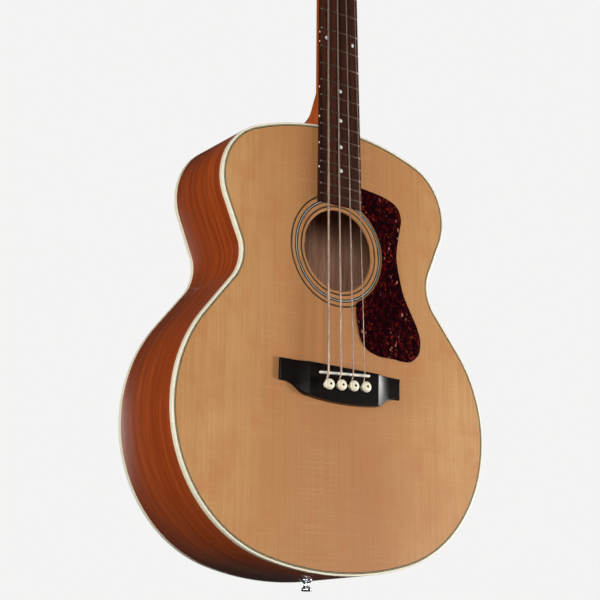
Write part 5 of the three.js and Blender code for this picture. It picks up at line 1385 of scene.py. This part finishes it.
def basePlate():
    t = tuner
    left, right, low, above = t["plateBox"]
    top = wormRise + above
    outline = softened([(left, low), (right, low), (right, top), (left, top)], t["corner"], 10)
    plate = washer(outline, t["post"] + t["bearing"], gaps["seat"], plateBack, t["edge"])
    return [plate, bearingEar(t["earInner"]), bearingEar(-t["earOuter"])]


def spindle():
    # from the cap behind the gear to the shoulder in the plate, and out in front with a waist for the string
    t, p = tuner, stringPost
    face = faceAtHead - head["thickness"]
    behind = gearFront + t["thickness"] + gaps["seat"]
    small, wide, bevel, cap = p["screw"]
    end = face - t["rise"]
    return lathe([(0, behind + cap), (small, behind + cap), (wide, behind + bevel), (wide, behind),
                  (t["shoulder"], behind), (t["shoulder"], plateBack + gaps["seat"]),
                  (t["post"], plateBack + gaps["seat"]), (t["post"], face - p["waist"][0]),
                  (t["waist"], face - p["waist"][1]), (t["waist"], face - p["waistEnd"][0]),
                  (t["post"], face - p["waistEnd"][1]), (t["post"], end + p["edge"]),
                  (t["post"] - p["edge"], end), (0, end)], 48, 0.25)


def bulged(value, power):
    return np.sign(value) * np.abs(value) ** power


# the key's button: half sizes out, through and along, and how far its middle lies past the shaft's end
button = {"half": (10.5, 3.5, 11.5), "past": 8.5, "squareness": 0.8, "thinning": 1.3}


def keyParts():
    # shaft, worm and button: the worm's ridge is a section on a helix, the button a flattened rounded oval
    t, inner, end = tuner, tuner["earOuter"] + gaps["seat"], tuner["earInner"] - gaps["seat"]
    profile = [(0, -inner - 1.5), (wormRoot, -inner - 1.5), (wormRoot, -inner), (t["shaft"], -inner),
               (t["shaft"], -end),
               (wormRoot, -end), (wormRoot, end), (t["shaft"], end), (t["shaft"], inner), (wormRoot, inner),
               (wormRoot, inner + 1.5), (t["shaft"], inner + 2.5), (t["shaft"], 19.5), (2.9, 21.4),
               (3.1, 23.5), (0, t["shaftLength"])]
    shaft = swapped(lathe(profile, 36, 0.2), (1, 0, 2))
    turns = np.linspace(-t["turns"] / 2, t["turns"] / 2, 97)[:, None]
    foot, crest, low = wormPitch * t["foot"] / 2, wormPitch * t["crest"] / 2, wormRoot - t["wormDed"] / 2
    along = np.array([-foot, -crest * 1.25, -crest * 0.8, crest * 0.8, crest * 1.25, foot])
    reach = np.array([low, wormOuter - t["wormRound"], wormOuter, wormOuter, wormOuter - t["wormRound"], low])
    fade = np.clip((t["turns"] / 2 - np.abs(turns)) / 0.12, 0, 1)
    reach = low + (reach - low) * (0.35 + 0.65 * fade)
    turn = 2 * math.pi * turns
    worm = skin(np.stack([wormPitch * turns + along, reach * np.sin(turn), -reach * np.cos(turn)], -1))
    polar, around, b = np.linspace(0, math.pi, 33)[:, None], wholeTurn(64), button
    ring = np.sin(polar) ** b["squareness"]
    rows = [t["shaftLength"] + b["past"] + b["half"][0] * bulged(np.cos(polar), b["squareness"]),
            b["half"][1] * ring ** b["thinning"] * bulged(np.sin(around), b["squareness"]),
            b["half"][2] * ring * bulged(np.cos(around), b["squareness"])]
    return [shaft, worm, skin(np.stack(np.broadcast_arrays(*rows), -1), caps=False)]


def buildTuner(number, side, x, z):
    def add(title, parts, finish, node, bodyName="instrument", sharp=35):
        placed = [moved(part, lambda points: headBack(points * [side, 1, 1] + [x, head["thickness"],
                                                                               z])) for part in parts]
        addPiece(f"{title}.{number}", placed, finish, node, bodyName, sharp)

    postName, keyName = f"tuner_post_{number}", f"tuner_key_{number}"
    add("TunerPlate", basePlate(), "chrome", f"tuner_plate_{number}")
    add("TunerScrews", [backScrew(tuner["screw"], across, plateBack, up) for across, up in tuner["screws"]],
        "steel", None)
    add("TunerPost", [spindle()], "chrome", postName, bodyName=postName)
    add("TunerGear", [gearWheel()], "gear", postName, bodyName=postName, sharp=30)
    key = [shifted(part, 0, gearMiddle, wormRise) for part in keyParts()]
    add("TunerKey", key, "chrome", keyName, bodyName=keyName, sharp=40)
    reach, depth = softened([(radius, faceAtHead - height) for radius, height in bushing["section"]], 0.25,
                            4).T
    bush = skin(spun(reach, depth, wholeTurn(bushing["sides"])[:, None]), closedRows=True)
    addPiece(f"TunerBushing.{number}", moved(shifted(bush, x, 0, z), headBack), "chrome",
             f"tuner_bushing_{number}")


for i, (side, x, z) in enumerate(postPlaces()):
    buildTuner(i + 1, side, x, z)
print("tuners done")


# Strings: from the ball end up through the bridge, over saddle and nut, and round the post

stringBall = {"lift": 2, "profile": [(0, -2.4), (1.8, -2.4), (2, -2.1), (1.7, -1), (1.65, 0), (1.7, 1),
                                     (2, 2.1), (1.8, 2.4), (0, 2.4)]}


def stringPath(i):
    # corners over the bridge, saddle and nut, softened, then a coil that the string meets as a tangent
    diameter, side = strings["diameters"][i], -1 if i < 2 else 1
    radius = diameter / 2
    x, across = stringX(i), nutX(i)
    above = radius + strings["clear"]
    holeZ, start = pinLine(x) + pins["hole"] + radius, strings["start"]
    crestY, crestZ = boardDrop(x) - strings["heightAtSaddle"] - above, saddle["centre"] + saddle["slant"] * x
    nutY = boardDrop(across) - strings["heightAtNut"] - above
    corners = [(x, start, holeZ), (x, bridgeFace, holeZ), (x, bridgeFace - radius * 0.9, holeZ + radius / 2),
               (x, crestY + radius / 2, crestZ - 1.5), (x, crestY, crestZ), (x, crestY, crestZ + 3),
               *leanBack([(across, nutY, scale["length"]), (across, nutY, nutBack)])]
    _, postX, postZ = postPlaces()[i]
    entry = tipped([[across, nutY, 0]], -scale["headTilt"], 0)[0]
    wrap = tuner["waist"] + gaps["seat"] + radius
    right, up = entry[0] - postX, entry[2] - postZ
    arrival = math.atan2(up, right) - side * math.acos(wrap / math.hypot(right, up))
    turns = np.linspace(0, strings["turns"], strings["turns"] * 40 + 1)
    depth = faceAtHead - strings["lift"] - radius - (diameter + strings["gap"]) * turns
    coil = headBack(spun(wrap, depth, arrival - side * 2 * math.pi * turns) + [postX, 0, postZ])
    line = softened([*corners, coil[0]], [0, 1.2, 1.2, 1.2, 1.0, 1.2, 1.5, 1.5, 0], 6, closed=False)
    line = line[np.concatenate([[True], np.linalg.norm(np.diff(line, axis=0), axis=1) > 0.05])]
    runs = []
    for a, b in zip(line[:-1], line[1:]):
        count = max(1, int(np.linalg.norm(b - a) / strings["step"]))
        runs.append(a + (b - a) * np.linspace(0, 1, count, endpoint=False)[:, None])
    return np.concatenate([*runs, coil]), (x, start, holeZ - radius + stringBall["lift"])


for i, diameter in enumerate(strings["diameters"]):
    path, ballPlace = stringPath(i)
    ball = swapped(lathe(stringBall["profile"], 24), (1, 0, 2), shift=ballPlace)
    addPiece(f"String.{i + 1}", [tube(path, diameter / 2, 14), ball], f"wound.{i + 1}", f"string_{i + 1}",
             sharp=50)
print("strings done")


# End pin and strap button

strapButton = {"endPinDepth": 61, "screw": 2.6, "screwHeight": 12.7, "profile": [
    (0, -15), (2.8, -15), (2.8, 0), (7, 0), (7, 1.1), (6.4, 2.0), (4.6, 2.9), (3.6, 4.4), (3.5, 6), (3.7, 8),
    (5.0, 9.6), (6.2, 10.4), (6.4, 11.2), (6.2, 12.2), (5.4, 12.8), (4.2, 13), (0, 13)]}


def buildButtons():
    part = lathe(strapButton["profile"], 64, 0.4)
    pin = swapped(part, (0, 2, 1), (1, 1, -1), (0, strapButton["endPinDepth"], tail - gaps["seat"]))
    addPiece("EndPin", pin, "chrome", "end_pin", sharp=50)
    y = neckShape["heelDepth"] + gaps["glue"] + neckShape["capThickness"] + gaps["seat"]
    z = shoulder + neckShape["capHeight"] / 2
    addPiece("StrapButton", shifted(part, 0, y, z), "chrome", "strap_button", sharp=50)
    addPiece("StrapScrew", backScrew(strapButton["screw"], 0, y + strapButton["screwHeight"], z), "steel",
             None)


buildButtons()

# Inner pieces keep their own shapes and take bare wood or steel
innerFinishes = {
    "bare": ("neck_block", "tail_block", "x_brace_bass", "x_brace_treble", "tone_bar_upper", "tone_bar_lower",
             "upper_transverse_brace", "top_lining_bass", "top_lining_treble", "back_lining_bass",
             "back_lining_treble"),
    "rosewood": ("bridge_plate",),
    "steel": ("truss_rod", "truss_rod_nut")}
for finish, nodes in innerFinishes.items():
    for node in nodes:
        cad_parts[node].data.materials.clear()
        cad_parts[node].data.materials.append(finishes[finish])
print("inner pieces dressed")


# Stage, light and camera, in metres

backdrop = (0.9, 0.9, 0.895, 1)
stage = {"floor": -1.62, "half": 14.0, "low": (0.80, 0.80, 0.79, 1), "high": (0.84, 0.84, 0.83, 1),
         "rough": 0.8, "runs": (0.5, 1.5), "nearShare": 0.9, "mirrored": 0.03,
         "thrown": (0.05, 0.05, 0.05, 1)}


def buildStage():
    half, z = stage["half"], stage["floor"]
    mesh = bpy.data.meshes.new("Floor")
    mesh.from_pydata([(-half, -half, z), (half, -half, z), (half, half, z), (-half, half, z)], [],
                     [(0, 1, 2, 3)])
    floor = linked("Floor", mesh)

    def build(wire):
        speck = objectPlace(wire).noise(3.0)
        return {"Base Color": speck.mixed(stage["low"], stage["high"]),
                "Roughness": speck * 0.05 + stage["rough"]}
    pale = material("paleFloor", build, Specular_IOR_Level=0.2)
    mesh.materials.append(pale)
    # further out, what the camera sees of the floor runs into the backdrop; it throws little light back up
    tree = pale.node_tree
    wire = Wire(tree)
    away = objectPlace(wire).vector("LENGTH", output="Value")
    share = away.ramp(*stage["runs"]) * (1 - stage["nearShare"]) + stage["nearShare"]
    glow = wire.node("ShaderNodeEmission", None, {"Color": backdrop, "Strength": 1.0})
    shown = share.shaderMix(Wire(tree, tree.nodes["Principled BSDF"].outputs[0]), glow)
    dim = wire.node("ShaderNodeBsdfDiffuse", None, {"Color": stage["thrown"]})
    both = wire.rayIs("Camera").most(wire.rayIs("Glossy") * stage["mirrored"]).shaderMix(dim, shown)
    tree.links.new(both.socket, tree.nodes["Material Output"].inputs["Surface"])


# what mirrors see is dim, with soft pale panels: each is a direction, its width out and in, and how pale
panels = [((0, 0, 1), 0.6, 0.95, 0.5), ((0, 1, 0), 0.92, 0.98, 0.3), ((0.754, 0.553, 0.352), 0.9, 0.97, 0.8),
          ((-0.943, 0.105, 0.314), 0.82, 0.95, 0.8), ((-0.612, -0.765, 0.204), 0.8, 0.95, 0.6),
          ((0.9, -0.3, -0.316), 0.85, 0.95, 0.5)]
sky = {"light": 0.06, "mirrored": 0.04}


def buildWorld():
    # the camera, and mirrors and glass, see a pale backdrop; the light that the world gives is weaker
    world = bpy.data.worlds.new("World")
    bpy.context.scene.world = world
    world.use_nodes = True
    tree = world.node_tree
    ground = tree.nodes["Background"]
    ground.inputs["Color"].default_value = (1.0, 1.0, 1.0, 1)
    ground.inputs["Strength"].default_value = sky["light"]
    wire = Wire(tree)
    glossy = wire.rayIs("Glossy")
    pale = wire.node("ShaderNodeBackground", None, {"Color": backdrop, "Strength": 1.0})
    dark = wire.node("ShaderNodeBackground", None, {"Color": (0.0, 0.0, 0.0, 1), "Strength": 0.0})
    toward = wire.node("ShaderNodeTexCoord", output="Generated")
    mirror = None
    for direction, outer, inner, strength in panels:
        panel = toward.vector("DOT_PRODUCT", direction, "Value").ramp(outer, inner) * strength
        mirror = panel if mirror is None else mirror.most(panel)
    seen = wire.rayIs("Camera").most(wire.rayIs("Transmission")).most(glossy * (mirror + sky["mirrored"]))
    both = seen.shaderMix(glossy.shaderMix(Wire(tree, ground.outputs[0]), dark), pale)
    tree.links.new(both.socket, tree.nodes["World Output"].inputs["Surface"])


# each lamp: its place, what it aims at, the size of its disc and its power in watts
lamps = {
    "key": ((-2.5, -2.9, -0.95), (0.0, 0.0, -0.7), 1.2, 44),
    "side": ((-3.0, -0.6, -0.75), (0.0, 0.0, -0.7), 1.2, 50),
    "rim": ((2.3, -1.0, -1.15), (0.0, 0.0, -0.75), 0.8, 62),
    "front": ((-0.9, -3.3, -1.05), (0.0, 0.0, -0.6), 1.0, 24),
    "edge": ((2.77, -0.29, -0.18), (0.05, 0.0, -0.78), 0.45, 26),
    "behind": ((0.1, 3.4, -0.6), (0.0, 0.0, -0.55), 1.4, 20),
}


def buildLamps():
    for name, (place, aim, size, watts) in lamps.items():
        light = bpy.data.lights.new(name, "AREA")
        light.shape, light.size, light.energy = "DISK", size, watts
        holder = linked(name, light)
        holder.location = place
        holder.rotation_euler = (Vector(aim) - Vector(place)).to_track_quat("-Z", "Y").to_euler()


view = {"azimuth": math.radians(-35.0977), "elevation": math.radians(-14.9376), "roll": math.radians(0.2929),
        "place": (-0.952622, -1.293072, -1.136430), "lens": 87.461, "sensor": 36,
        "centre": (299.728, 299.027), "frame": 600, "near": 0.01, "far": 60}


def buildCamera():
    # the fitted view: which way the camera looks, its roll, and where the photo's middle lies in the frame
    data = bpy.data.cameras.new("Camera")
    camera = linked("Camera", data)
    az, el, roll, size = view["azimuth"], view["elevation"], view["roll"], view["frame"]
    back = Vector((math.sin(az) * math.cos(el), -math.cos(az) * math.cos(el), math.sin(el)))
    right = (-back).cross(Vector((0, 0, 1))).normalized()
    up = right.cross(-back)
    turned = right * math.cos(roll) + up * math.sin(roll)
    level = up * math.cos(roll) - right * math.sin(roll)
    camera.matrix_world = Matrix.Translation(view["place"]) @ Matrix((turned, level,
                                                                      back)).transposed().to_4x4()
    data.sensor_width, data.lens = view["sensor"], view["lens"]
    data.shift_x = 0.5 - view["centre"][0] / size
    data.shift_y = view["centre"][1] / size - 0.5
    data.clip_start, data.clip_end = view["near"], view["far"]
    bpy.context.scene.camera = camera


buildStage()
buildWorld()
buildLamps()
buildCamera()
bpy.context.scene.view_settings.view_transform = "Standard"
print("stage done")
